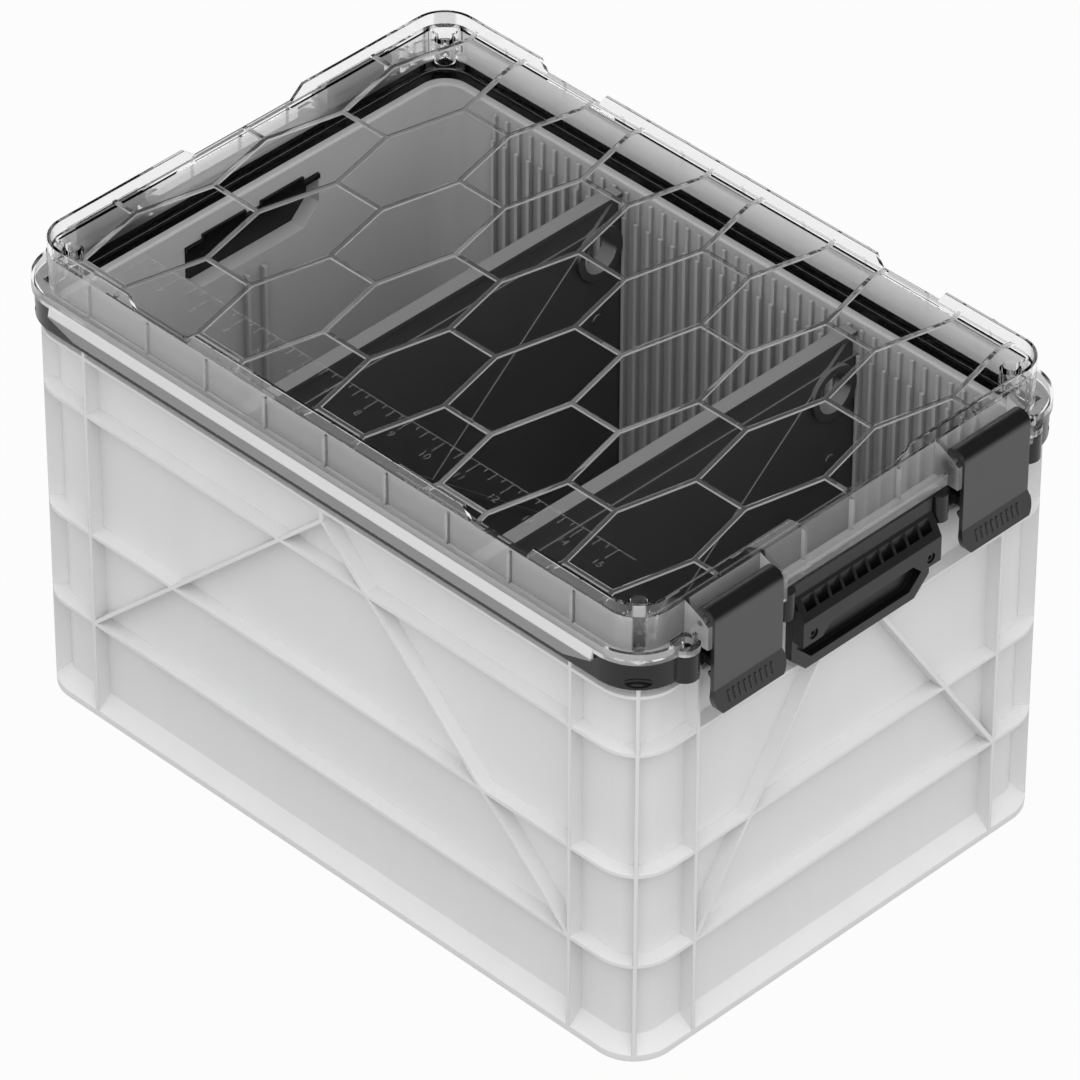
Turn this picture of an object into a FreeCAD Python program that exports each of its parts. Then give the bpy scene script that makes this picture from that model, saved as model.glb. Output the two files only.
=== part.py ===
"""Storage crate with a clear latched lid: a parametric FreeCAD model, in millimetres.

X runs along the crate, Y across it and Z up. The origin is at the centre of the base.
"""
import math
import os

import FreeCAD
import Part
import Sketcher

Vector = FreeCAD.Vector
doc = FreeCAD.newDocument("StorageCrate")
sheet = doc.addObject("Spreadsheet::Sheet", "Sizes")

# Driving dimensions: alias, number, meaning
SIZES = [
    ("crate_length", 470.0, "length over the outer ribs"),
    ("crate_width", 323.0, "width over the outer ribs"),
    ("crate_height", 258.3, "height of the crate's shoulder, under the rim frame"),
    ("corner_radius", 26.0, "plan radius at the outer ribs"),
    ("wall", 2.2, "crate wall"),
    ("floor_wall", 3.0, "crate floor"),
    ("rib_depth", 9.0, "how far the outer ribs stand out of the wall"),
    ("rib_wall", 2.4, "thickness of the outer ribs"),
    ("base_band", 4.0, "upright band at the foot"),
    ("base_bevel", 8.0, "height of the bevel above the band"),
    ("low_rib_level", 65.3, "underside of the low rib"),
    ("mid_rib_level", 127.9, "underside of the middle rib"),
    ("high_rib_drop", 47.9, "underside of the high rib below the crate's top"),
    ("rim_rib_drop", 9.2, "underside of the rim rib below the crate's top"),
    ("long_post_inset", 49.6, "upright ribs on the long sides, from the end's rib plane"),
    ("short_post_inset", 45.0, "upright ribs on the short sides, from the side's rib plane"),
    ("brace_half_width", 1.7, "half the level width of a diagonal rib"),
    ("brace_drop", 15.3, "meeting point of the diagonal ribs below the crate's top"),
    ("neck_inset", 5.0, "neck set back from the outer ribs"),
    ("neck_wall", 4.0, "wall of the neck"),
    ("neck_rise", 5.3, "neck's head above the shoulder"),
    ("neck_gap", 0.2, "gap between the neck and the rim frame"),
    ("ledge_rise", 1.7, "ledge inside the neck above the shoulder"),
    ("comb_margin", 51.7, "outermost comb rib from the end's rib plane"),
    ("comb_rib", 2.4, "width of a comb rib"),
    ("comb_depth", 3.5, "how far the comb stands into the crate"),
    ("comb_foot", 12.0, "foot of the comb above the base"),
    ("comb_head", 18.3, "comb's deep part below the crate's top"),
    ("crest_depth", 1.8, "how far the comb's shallow head stands in"),
    ("crest_gap", 3.5, "comb's shallow head below the ledge"),
    ("stem_place", 6.5, "inner uprights under the handle, from the centre"),
    ("stem_head", 8.0, "uprights' head below the hand hole"),
    ("hole_margin", 1.5, "hand hole's end from the handle's end"),
    ("hole_head", 11.3, "hand hole's head below the crate's top"),
    ("hole_height", 33.0, "height of the hand hole"),
    ("hole_chamfer", 12.0, "hand hole's lower corners"),
    ("collar_wall", 1.5, "wall round the hand hole"),
    ("frame_reach", 3.0, "rim frame's face outside the ribs"),
    ("frame_height", 16.7, "height of the rim frame"),
    ("seat_drop", 6.5, "frame's inner seat below its top"),
    ("seat_inset", 4.6, "seat's wall inside the rib plane"),
    ("groove_outer", -5.3, "groove's outer edge from the rib plane"),
    ("groove_width", 1.8, "gasket groove"),
    ("groove_depth", 2.2, "depth of the groove"),
    ("gasket_gap", 0.15, "gap at the gasket's sides"),
    ("gasket_rise", 0.4, "gasket's crown above the seat"),
    ("dimple_width", 8.0, "half width of the corner dimples"),
    ("dimple_height", 3.4, "half height of the corner dimples"),
    ("dimple_depth", 3.0, "depth of the corner dimples"),
    ("dimple_lift", 4.6, "dimple's centre above the frame's foot"),
    ("lid_gap", 0.6, "lid's flange above the frame"),
    ("lid_inset", 5.0, "lid's skirt set back from the rib plane"),
    ("lid_wall", 2.4, "wall of the lid"),
    ("lid_height", 24.4, "lid's top above its flange"),
    ("flange_wall", 2.4, "lid's flange"),
    ("strip_reach", 4.5, "flange's edge outside the rib plane"),
    ("strip_wall", 2.0, "wall of the flange's upright edge"),
    ("strip_height", 7.4, "height of the flange's upright edge"),
    ("lip_gap", 0.6, "long lip's clearance to the frame"),
    ("lip_wall", 2.4, "wall of the long side lips"),
    ("lip_drop", 11.6, "long lip's foot below the flange"),
    ("lip_head_drop", 4.1, "head of the long lip's face below the flange"),
    ("lip_slope", 2.4, "head of the long lip's slope above the flange"),
    ("lip_end", 29.0, "long lip's end from the end's rib plane"),
    ("lip_chamfer", 20.0, "run of the long lip's lower corners"),
    ("lip_corner", 1.0, "upright end of the long lip above its lower corner"),
    ("stack_wall", 2.0, "wall of the stacking lip"),
    ("stack_height", 7.5, "height of the stacking lip"),
    ("stack_inner", 102.0, "near end of the stacking lip's gap, long sides"),
    ("stack_outer", 153.0, "far end of the stacking lip's gap, long sides"),
    ("stack_step", 36.0, "half the stacking lip's low part, short sides"),
    ("stack_slope", 9.0, "run of the slope at the step"),
    ("stack_ramp", 5.0, "run of the slope at the long sides' gaps"),
    ("hex_run", 45.8, "lengthwise pitch of the hexagon rows"),
    ("hex_rise", 48.7, "crosswise pitch of the hexagon rows"),
    ("hex_flat", 34.6, "length of a hexagon's flat side"),
    ("hex_rib", 2.6, "width of the hexagon ribs"),
    ("hex_height", 1.4, "height of the hexagon ribs"),
    ("stay_wall", 1.8, "thickness of the skirt's upright ribs"),
    ("stay_reach", 2.4, "how far they stand out"),
    ("stay_drop", 2.0, "their head below the lid's top"),
    ("boss_radius", 6.0, "corner bosses of the lid"),
    ("boss_bore", 4.2, "bore of the corner bosses"),
    ("boss_drop", 17.0, "length of the bosses below the lid's top"),
    ("boss_inset", 21.0, "boss centres from the rib planes"),
    ("gusset_wall", 1.6, "wall of the boss gussets"),
    ("latch_inset", 67.5, "latch centre from the side's rib plane"),
    ("latch_width", 51.0, "width of the latch plate"),
    ("latch_reach", 13.0, "latch's face outside the rib plane"),
    ("latch_wall", 2.6, "thickness of the latch plate"),
    ("latch_drop", 59.5, "latch's foot below its pin"),
    ("barrel_radius", 7.0, "round head of the latch"),
    ("barrel_flat", 0.3, "half the flat left between the head's roundings"),
    ("pin_lift", 14.9, "pin above the lid's flange"),
    ("rear_reach", 9.0, "rear latch's face outside the rib plane"),
    ("rear_radius", 4.5, "round head of the rear latch"),
    ("rear_lift", 8.6, "rear latch's pin above the lid's flange"),
    ("pin_radius", 1.8, "latch pin"),
    ("pin_gap", 0.35, "latch's clearance round its pin"),
    ("tab_height", 16.0, "height of the finger tab"),
    ("tab_flare", 1.0, "how far the tab flares at each side"),
    ("flare_drop", 4.0, "drop over which the tab flares"),
    ("tab_kick", 4.5, "how far the front tab kicks out, level with the rear one"),
    ("tab_round", 11.0, "rounding of the tab's corners"),
    ("claw_depth", 1.8, "depth of the latch's claw"),
    ("claw_height", 3.5, "height of the claw"),
    ("claw_gap", 0.4, "claw's clearance outside the catch"),
    ("catch_width", 44.0, "width of the catch on the frame"),
    ("catch_height", 6.0, "height of the catch"),
    ("catch_drop", 16.5, "catch's underside below the frame's top"),
    ("ear_gap", 0.8, "gap between latch and ear"),
    ("ear_wall", 3.0, "thickness of the lid's ears"),
    ("ear_inset", 1.0, "ear's edge behind the latch's face"),
    ("ear_rise", 9.3, "ear's root above the pin"),
    ("ear_crown", 4.2, "ear's edge above the pin"),
    ("eye_radius", 8.0, "padlock eye"),
    ("eye_bore", 4.3, "padlock eye's hole"),
    ("eye_reach", 2.0, "eye's centre outside the rib plane"),
    ("eye_side", 6.4, "eye's centre beyond the ear"),
    ("eye_wall", 4.0, "lid's eye"),
    ("block_radius", 5.5, "rounding of the frame's inner blocks"),
    ("block_drop", 0.6, "block's foot below the frame's foot"),
    ("block_gap", 0.4, "gap between a block and the handle"),
    ("shroud_top_gap", 0.8, "shroud's head below the lid's flange"),
    ("shroud_gap", 0.3, "gap between the handle and what is behind it"),
    ("shroud_crown", 2.2, "thickness of the shroud's head"),
    ("slope_drop", 9.2, "head of the shroud's slope below the lid's flange"),
    ("shroud_lip", 16.0, "height of the shroud's lip"),
    ("shroud_foot", 21.3, "lip's foot below the crate's top"),
    ("pocket_margin", 4.4, "outermost pocket from the handle's end"),
    ("pocket_fin", 1.8, "fin between the pockets"),
    ("pocket_back", 1.2, "wall behind the pockets, beyond the shroud's head"),
    ("pocket_front", 2.5, "lip in front of the pockets"),
    ("pocket_floor", 11.0, "pocket's floor above the lip's foot"),
    ("relief_margin", 14.5, "finger relief's end from the handle's end"),
    ("relief_height", 7.0, "height of the finger relief"),
    ("grip_depth", 4.6, "depth of the grip loop"),
    ("grip_foot", 45.8, "grip's foot below the crate's top"),
    ("grip_bar", 6.2, "height of the grip's lower bar"),
    ("grip_side", 10.0, "width of the grip's sides at the screws"),
    ("grip_rim", 4.0, "width of the grip's sides beside the slot"),
    ("grip_shoulder", 21.3, "slot's widening below the crate's top"),
    ("grip_back", 1.6, "plate that closes the hand hole"),
    ("grip_chamfer", 11.0, "grip's lower corners"),
    ("grip_bridge", 3.0, "thickness of the bridge through the hand hole"),
    ("clip_rise", 6.8, "height of a clip"),
    ("clip_wall", 1.6, "thickness of a clip"),
    ("screw_margin", 7.9, "screws from the handle's end"),
    ("screw_lift", 5.5, "screw above the lip's foot"),
    ("screw_head", 2.9, "radius of the screw's head"),
    ("screw_head_depth", 2.4, "depth of the screw's head"),
    ("screw_sink", 1.0, "head below the lip's face"),
    ("screw_shank", 1.5, "radius of the screw's shank"),
    ("screw_length", 9.0, "length of the shank"),
    ("screw_gap", 0.3, "gap round the head"),
    ("socket_radius", 1.3, "socket in the screw's head"),
    ("divider_wall", 3.0, "divider panel"),
    ("divider_head", 0.3, "divider's top below the crate's top"),
    ("divider_edge", 9.5, "width of the divider's top edge"),
    ("divider_edge_wall", 3.0, "height of the divider's top edge"),
    ("divider_gap", 0.5, "divider's clearance to the comb"),
    ("tab_gap", 0.9, "gap at each side of the divider's end in its slot"),
    ("web_width", 4.4, "level width of the divider's crossed ribs"),
    ("web_depth", 2.0, "how far the crossed ribs stand out"),
    ("web_foot", 14.0, "crossed ribs above the base"),
    ("ring_inset", 32.5, "finger ring from the side's rib plane"),
    ("ring_drop", 33.0, "finger ring below the divider's top"),
    ("ring_bore", 12.5, "finger ring's hole"),
    ("ring_wall", 4.5, "finger ring's wall"),
    ("ring_depth", 4.0, "how far the finger ring stands out"),
    ("stud_radius", 3.4, "small stud below the finger ring"),
    ("stud_drop", 80.0, "stud below the divider's top"),
    ("overrun", 2.0, "how far a cutting tool runs past the face"),
]

# Counts, directions and shares of a turn
SLOT_COUNT = 40
FRONT_SLOT_COUNT = 10
REAR_SLOT_COUNT = 9
POCKET_COUNT = 10
STAY_REACH_COUNT = 4
HALF = 2
diagonal_share = math.sqrt(HALF) / HALF
clip_place_share = 0.419
clip_width_share = 0.312
ALONG_X, ALONG_Y, ALONG_Z = Vector(1, 0, 0), Vector(0, 1, 0), Vector(0, 0, 1)


class Dim:
    """A length with its number and the spreadsheet expression that drives it."""

    def __init__(self, value, text):
        self.value = value
        self.text = text

    def _join(self, sign, other, value):
        return Dim(value, "(%s %s %s)" % (self.text, sign, other.text))

    def __add__(self, other):
        other = dim(other)
        return self._join("+", other, self.value + other.value)

    def __sub__(self, other):
        other = dim(other)
        return self._join("-", other, self.value - other.value)

    def __mul__(self, factor):
        return self._join("*", dim(factor), self.value * factor)

    def __truediv__(self, factor):
        return self._join("/", dim(factor), self.value / factor)

    def __neg__(self):
        return self * -1

    __radd__ = __add__
    __rmul__ = __mul__


def dim(value):
    """Returns value as a Dim."""
    return value if isinstance(value, Dim) else Dim(float(value), repr(float(value)))


class Sizes:
    """Every alias of the spreadsheet, as a Dim."""


def fill_sheet():
    """Writes the driving dimensions into the spreadsheet and returns them as Dims."""
    sizes = Sizes()
    for row, (alias, number, meaning) in enumerate(SIZES, start=1):
        sheet.set("A%d" % row, alias)
        sheet.set("B%d" % row, str(number))
        sheet.setAlias("B%d" % row, alias)
        sheet.set("C%d" % row, meaning)
    doc.recompute()
    for alias, _, _ in SIZES:
        setattr(sizes, alias, Dim(float(getattr(sheet, alias)), "Sizes." + alias))
    return sizes


def place(obj, base):
    """Binds an object's position to three Dims."""
    for axis, value in zip("xyz", base):
        obj.setExpression("Placement.Base." + axis, dim(value).text)


def box(label, x, y, z):
    """Adds a block from three (low, high) ranges."""
    obj = doc.addObject("Part::Box", label)
    for side, (low, high) in zip(("Length", "Width", "Height"), (x, y, z)):
        obj.setExpression(side, (dim(high) - dim(low)).text)
    place(obj, (x[0], y[0], z[0]))
    return obj


def cylinder(label, direction, base, radius, length):
    """Adds a round bar that starts at base and runs along direction."""
    obj = doc.addObject("Part::Cylinder", label)
    obj.Placement = FreeCAD.Placement(Vector(), FreeCAD.Rotation(ALONG_Z, direction))
    obj.setExpression("Radius", radius.text)
    obj.setExpression("Height", length.text)
    place(obj, base)
    return obj


PLANES = {
    "XY": (FreeCAD.Rotation(), ALONG_Z, "z"),
    "XZ": (FreeCAD.Rotation(ALONG_X, 90), ALONG_Y, "y"),
    "YZ": (FreeCAD.Rotation(Vector(1, 1, 1), 120), ALONG_X, "x"),
}


def pin_point(sketch, geometry, point, corner, name):
    """Fixes a sketch point at the corner's two Dims."""
    for kind, value in zip(("DistanceX", "DistanceY"), corner):
        index = sketch.addConstraint(Sketcher.Constraint(kind, -1, 1, geometry, point, dim(value).value))
        sketch.renameConstraint(index, name + kind)
        sketch.setExpression("Constraints." + name + kind, dim(value).text)


def outline(label, plane, corners, level):
    """Draws a closed outline, each corner (across, up) or (across, up, radius), at a level of its plane."""
    points = [Vector(dim(c[0]).value, dim(c[1]).value) for c in corners]
    area = sum(a.x * b.y - b.x * a.y for a, b in zip(points, points[1:] + points[:1]))
    if area < 0:
        corners, points = corners[::-1], points[::-1]
    count = len(corners)
    sketch = doc.addObject("Sketcher::SketchObject", label)
    rotation, _, axis = PLANES[plane]
    sketch.Placement = FreeCAD.Placement(Vector(), rotation)
    sketch.setExpression("Placement.Base." + axis, dim(level).text)

    # Where each corner's rounding begins and ends
    starts, ends, arcs = [], [], {}
    for i, corner in enumerate(corners):
        here, before, after = points[i], points[i - 1], points[(i + 1) % count]
        if len(corner) < 3:
            starts.append(here)
            ends.append(here)
            continue
        radius = corner[2].value
        to_before, to_after = (before - here).normalize(), (after - here).normalize()
        half_angle = to_before.getAngle(to_after) / HALF
        reach = radius / math.tan(half_angle)
        starts.append(here + to_before * reach)
        ends.append(here + to_after * reach)
        centre = here + (to_before + to_after).normalize() * (radius / math.sin(half_angle))
        convex = (here - before).cross(after - here).z > 0
        arcs[i] = (centre, radius, convex)

    lines = []
    for i in range(count):
        lines.append(sketch.addGeometry(Part.LineSegment(ends[i], starts[(i + 1) % count]), False))
    for i, corner in enumerate(corners):
        before, after, name = lines[i - 1], lines[i], "corner%d" % i
        if i not in arcs:
            sketch.addConstraint(Sketcher.Constraint("Coincident", before, 2, after, 1))
            pin_point(sketch, after, 1, corner, name)
            continue
        centre, radius, convex = arcs[i]
        first, last = (starts[i], ends[i]) if convex else (ends[i], starts[i])
        angles = [math.atan2(p.y - centre.y, p.x - centre.x) for p in (first, last)]
        circle = Part.Circle(centre, ALONG_Z, radius)
        arc = sketch.addGeometry(Part.ArcOfCircle(circle, angles[0], angles[1]), False)
        head, tail = (1, 2) if convex else (2, 1)
        sketch.addConstraint(Sketcher.Constraint("Tangent", before, 2, arc, head))
        sketch.addConstraint(Sketcher.Constraint("Tangent", arc, tail, after, 1))
        index = sketch.addConstraint(Sketcher.Constraint("Radius", arc, radius))
        sketch.renameConstraint(index, name + "Radius")
        sketch.setExpression("Constraints." + name + "Radius", corner[2].text)
        point = sketch.addGeometry(Part.Point(points[i]), True)
        pin_point(sketch, point, 1, corner, name)
        sketch.addConstraint(Sketcher.Constraint("PointOnObject", point, 1, before))
        sketch.addConstraint(Sketcher.Constraint("PointOnObject", point, 1, after))
    return sketch


def prism(label, plane, corners, low, high):
    """Extrudes an outline between two levels of its plane."""
    sketch = outline(label + "_outline", plane, corners, low)
    obj = doc.addObject("Part::Extrusion", label)
    obj.Base = sketch
    obj.DirMode = "Custom"
    obj.Dir = PLANES[plane][1]
    obj.Solid = True
    obj.setExpression("LengthFwd", (dim(high) - dim(low)).text)
    return obj


def plan(offset):
    """Returns the crate's rounded plan, moved outwards by offset."""
    half_x, half_y = half_length + offset, half_width + offset
    radius = s.corner_radius + offset
    return [(i * half_x, j * half_y, radius) for i, j in ((-1, -1), (1, -1), (1, 1), (-1, 1))]


def slab(label, offset, low, high):
    """Adds a plate with the crate's rounded plan, moved outwards by offset."""
    return prism(label, "XY", plan(offset), low, high)


def fuse(label, shapes):
    """Joins the shapes."""
    obj = doc.addObject("Part::MultiFuse", label)
    obj.Shapes = shapes
    return obj


def cut(label, base, tools):
    """Takes the tools away from base."""
    obj = doc.addObject("Part::Cut", label)
    obj.Base = base
    obj.Tool = tools[0] if len(tools) == 1 else fuse(label + "_tools", tools)
    return obj


def common(label, shapes):
    """Keeps what the shapes share."""
    obj = doc.addObject("Part::MultiCommon", label)
    obj.Shapes = shapes
    return obj


def mirrored(label, source, normal):
    """Adds the mirror image of source through the origin."""
    obj = doc.addObject("Part::Mirroring", label)
    obj.Source = source
    obj.Normal = normal
    return obj


def corners(label, front, rear):
    """Returns the front and rear quarters, both drawn at the front left, at their four corners."""
    back = mirrored(label + "_back_left", rear, ALONG_X)
    return [front, mirrored(label + "_right", front, ALONG_Y), back,
            mirrored(label + "_back_right", back, ALONG_Y)]


def four(label, quarter):
    """Returns the quarter at the front left with its three mirror images."""
    return corners(label, quarter, quarter)


s = fill_sheet()
half_length = s.crate_length / HALF
half_width = s.crate_width / HALF
zero = dim(0)

# Levels and planes that several pieces share
inner_offset = -(s.rib_depth + s.wall)
neck_inner = -(s.neck_inset + s.neck_wall)
neck_top = s.crate_height + s.neck_rise
ledge = s.crate_height + s.ledge_rise
frame_top = s.crate_height + s.frame_height
seat = frame_top - s.seat_drop
skirt_foot = seat + s.lid_gap
flange_level = frame_top + s.lid_gap
lid_top = flange_level + s.lid_height
inner_x = half_length + inner_offset
inner_y = half_width + inner_offset
comb_face = inner_y - s.comb_depth
hole_top = s.crate_height - s.hole_head
hole_foot = hole_top - s.hole_height
frame_face = half_length + s.frame_reach
latch_face = half_length + s.latch_reach
latch_back = latch_face - s.latch_wall
latch_foot = flange_level + s.pin_lift - s.latch_drop
ear_out = s.latch_width / HALF + s.ear_gap
ear_far = ear_out + s.ear_wall
latch_place = half_width - s.latch_inset
handle_half = latch_place - ear_far - s.ear_gap - s.block_radius * HALF - s.block_gap
hole_half = handle_half - s.hole_margin
high_rib = s.crate_height - s.high_rib_drop
rim_rib = s.crate_height - s.rim_rib_drop
comb_pitch = (half_length - s.comb_margin) * HALF / (SLOT_COUNT - 1)


class Hook:
    """Where a latch's plate, round head and pin are at one end of the crate."""

    def __init__(self, reach, radius, lift):
        self.face = half_length + reach
        self.back = self.face - s.latch_wall
        self.claw_x = self.back - s.claw_depth
        self.radius = radius
        self.pin_x = self.face - radius
        self.pin_z = flange_level + lift
        self.ear_x = self.face - s.ear_inset
        self.kick = latch_face + s.tab_kick - self.face


front_hook = Hook(s.latch_reach, s.barrel_radius, s.pin_lift)
rear_hook = Hook(s.rear_reach, s.rear_radius, s.rear_lift)


def hand_outline(offset):
    """The hand hole's outline, moved outward by an offset."""
    wide, chamfer = hole_half + offset, s.hole_chamfer
    low, high = hole_foot - offset, hole_top + offset
    return [(-wide, high), (-wide, low + chamfer), (-wide + chamfer, low),
            (wide - chamfer, low), (wide, low + chamfer), (wide, high)]


def build_crate():
    """The moulded crate with its ribs outside and its comb inside."""
    full_x = (-half_length, half_length)
    full_y = (-half_width, half_width)
    parts = [slab("crate_shell", -s.rib_depth, zero, s.crate_height)]
    parts.append(slab("crate_band", zero, zero, s.base_band))
    bevel = doc.addObject("Part::Loft", "crate_bevel")
    bevel.Sections = [outline("crate_bevel_foot", "XY", plan(zero), s.base_band),
                      outline("crate_bevel_head", "XY", plan(-s.rib_depth), s.base_band + s.base_bevel)]
    bevel.Solid = True
    bevel.Ruled = True
    parts.append(bevel)
    levels = (s.low_rib_level, s.mid_rib_level, high_rib, rim_rib)
    for number, level in enumerate(levels):
        parts.append(slab("crate_rib_%d" % number, zero, level, level + s.rib_wall))
    parts.append(slab("crate_neck", -s.neck_inset, rim_rib, neck_top))

    # Upright ribs, each through both sides until the cavity is cut
    long_post, short_post = half_length - s.long_post_inset, half_width - s.short_post_inset
    for side in (-1, 1):
        x, y = long_post * side, short_post * side
        half = s.rib_wall / HALF
        height = (zero, s.crate_height)
        parts.append(box("crate_long_post", (x - half, x + half), full_y, height))
        parts.append(box("crate_short_post", full_x, (y - half, y + half), height))

    # Upright rib at each corner, turned to the diagonal
    for i, j in ((-1, -1), (1, -1), (1, 1), (-1, 1)):
        post = doc.addObject("Part::Box", "crate_corner_post")
        turn = FreeCAD.Rotation(ALONG_Z, math.degrees(math.atan2(j, i)))
        post.Placement = FreeCAD.Placement(Vector(), turn)
        post.setExpression("Length", s.corner_radius.text)
        post.setExpression("Width", s.rib_wall.text)
        post.setExpression("Height", s.crate_height.text)
        side = s.rib_wall / HALF * diagonal_share
        foot_x = (half_length - s.corner_radius) * i + side * j
        foot_y = (half_width - s.corner_radius) * j - side * i
        place(post, (foot_x, foot_y, zero))
        parts.append(post)

    # Diagonal ribs from the rim's middle to the foot of each upright rib
    top, foot, half = s.crate_height - s.brace_drop, s.low_rib_level + s.rib_wall / HALF, s.brace_half_width
    for side in (-1, 1):
        x, y = long_post * side, short_post * side
        leg = [(-half, top), (half, top), (x + half, foot), (x - half, foot)]
        parts.append(prism("crate_long_brace", "XZ", leg, -half_width, half_width))
        leg = [(-half, top), (half, top), (y + half, foot), (y - half, foot)]
        parts.append(prism("crate_short_brace", "YZ", leg, -half_length, half_length))
    stem, stem_z = (-half, half), (top, rim_rib)
    parts.append(box("crate_long_stem", stem, full_y, stem_z))
    parts.append(box("crate_short_stem", full_x, stem, stem_z))

    # Collar round each hand hole
    collar = hand_outline(s.collar_wall)
    parts.append(prism("crate_collar", "YZ", collar, -half_length, half_length))

    # Cavity, wider inside the neck, and the hand holes
    over_top = neck_top + s.overrun
    past_end = half_length + s.overrun
    hole = hand_outline(zero)
    tools = [slab("crate_cavity", inner_offset, s.floor_wall, over_top),
             slab("crate_mouth", neck_inner, ledge, over_top),
             prism("crate_hand_hole", "YZ", hole, -past_end, past_end)]
    walls = cut("crate_walls", fuse("crate_solid", parts), tools)

    # Divider comb and the uprights under the handles, each cut from bars through the whole crate
    bars = []
    reach_y = inner_y + s.wall / HALF
    comb_z = (s.comb_foot, s.crate_height - s.comb_head)
    for slot in range(SLOT_COUNT):
        x = comb_pitch * (slot - (SLOT_COUNT - 1) / HALF)
        half = s.comb_rib / HALF
        bars.append(box("comb_bar", (x - half, x + half), (-reach_y, reach_y), comb_z))
    clear_x = inner_x - s.comb_depth
    reach_x = inner_x + s.wall / HALF
    for side in (-1, 1):
        y, half = s.stem_place * side, s.comb_rib / HALF
        stem_z = (s.floor_wall, hole_foot - s.stem_head)
        bars.append(box("stem_bar", (-reach_x, reach_x), (y - half, y + half), stem_z))
    room = box("comb_room", (-clear_x, clear_x), (-comb_face, comb_face), (zero, over_top))
    comb = cut("crate_comb", fuse("comb_bars", bars), [room])

    # Shallow head of each comb rib, up to the ledge
    heads = []
    head_z = (s.crate_height - s.comb_head, ledge - s.crest_gap)
    for slot in range(SLOT_COUNT):
        x = comb_pitch * (slot - (SLOT_COUNT - 1) / HALF)
        half = s.comb_rib / HALF
        heads.append(box("crest_bar", (x - half, x + half), (-reach_y, reach_y), head_z))
    crest_face = inner_y - s.crest_depth
    crest_room = box("crest_room", (-clear_x, clear_x), (-crest_face, crest_face), (zero, over_top))
    crest = cut("crate_crest", fuse("crest_bars", heads), [crest_room])
    return fuse("crate_body", [walls, comb, crest])


def build_frame():
    """The black rim frame with its gasket groove, catches, blocks and padlock eyes."""
    parts = [slab("frame_band", s.frame_reach, s.crate_height, frame_top)]
    half = s.catch_width / HALF
    catch_y, catch_foot = (-latch_place - half, -latch_place + half), frame_top - s.catch_drop
    catch_z = (catch_foot, catch_foot + s.catch_height)
    catches = []
    for hook in (front_hook, rear_hook):
        catch_x = (half_length, hook.claw_x - s.claw_gap)
        catches.append(box("frame_catch", catch_x, catch_y, catch_z))
    eye_x, eye_y = half_length + s.eye_reach, -(latch_place + ear_far + s.eye_side)
    eye_foot, eye_side = (eye_x, eye_y, s.crate_height), (eye_y - s.eye_radius, eye_y + s.eye_radius)
    band = (s.crate_height, frame_top)
    eye = fuse("frame_eye", [
        cylinder("frame_eye_round", ALONG_Z, eye_foot, s.eye_radius, s.frame_height),
        box("frame_eye_root", (half_length, eye_x), eye_side, band)])
    block_y = -latch_place + ear_far + s.ear_gap + s.block_radius
    block_foot = s.crate_height - s.block_drop
    block_x = latch_back - s.claw_gap - s.block_radius
    block_side = (block_y - s.block_radius, block_y + s.block_radius)
    block_base, block_height = (block_x, block_y, block_foot), frame_top - block_foot
    block = fuse("frame_block", [
        cylinder("frame_block_round", ALONG_Z, block_base, s.block_radius, block_height),
        box("frame_block_root", (half_length, block_x), block_side, (block_foot, frame_top))])
    parts += corners("frame_catch", catches[0], catches[1])
    parts += four("frame_quarter", fuse("frame_quarter", [eye, block]))
    solid = fuse("frame_solid", parts)

    hole = cylinder("frame_eye_hole", ALONG_Z, (eye_x, eye_y, s.crate_height - s.overrun), s.eye_bore,
                    s.frame_height + s.overrun * HALF)
    groove_inner = s.groove_outer - s.groove_width
    groove_foot, over_top = seat - s.groove_depth, frame_top + s.overrun
    groove = cut("frame_groove", slab("groove_outside", s.groove_outer, groove_foot, over_top),
                 [slab("groove_inside", groove_inner, groove_foot, over_top)])
    under = s.crate_height - s.overrun
    tools = [slab("frame_neck_room", s.neck_gap - s.neck_inset, under, neck_top + s.neck_gap),
             slab("frame_opening", neck_inner, under, over_top),
             slab("frame_seat_room", -s.seat_inset, seat, over_top), groove]
    tools += four("frame_eye_hole", hole)
    for i, j in ((-1, -1), (1, -1), (1, 1), (-1, 1)):
        dimple = doc.addObject("Part::Ellipsoid", "frame_dimple")
        turn = FreeCAD.Rotation(ALONG_Z, math.degrees(math.atan2(j, i)))
        dimple.Placement = FreeCAD.Placement(Vector(), turn)
        dimple.setExpression("Radius1", s.dimple_height.text)
        dimple.setExpression("Radius2", s.dimple_depth.text)
        dimple.setExpression("Radius3", s.dimple_width.text)
        face = (s.corner_radius + s.frame_reach) * diagonal_share - s.corner_radius
        place(dimple, ((half_length + face) * i, (half_width + face) * j, s.crate_height + s.dimple_lift))
        tools.append(dimple)
    return cut("rim_frame", solid, tools)


def build_gasket():
    """The sealing bead in the frame's groove."""
    low, high = seat - s.groove_depth, seat + s.gasket_rise
    inner = s.groove_outer - s.groove_width + s.gasket_gap
    outside = slab("gasket_outside", s.groove_outer - s.gasket_gap, low, high)
    inside = slab("gasket_inside", inner, low - s.overrun, high + s.overrun)
    return cut("gasket", outside, [inside])


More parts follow.
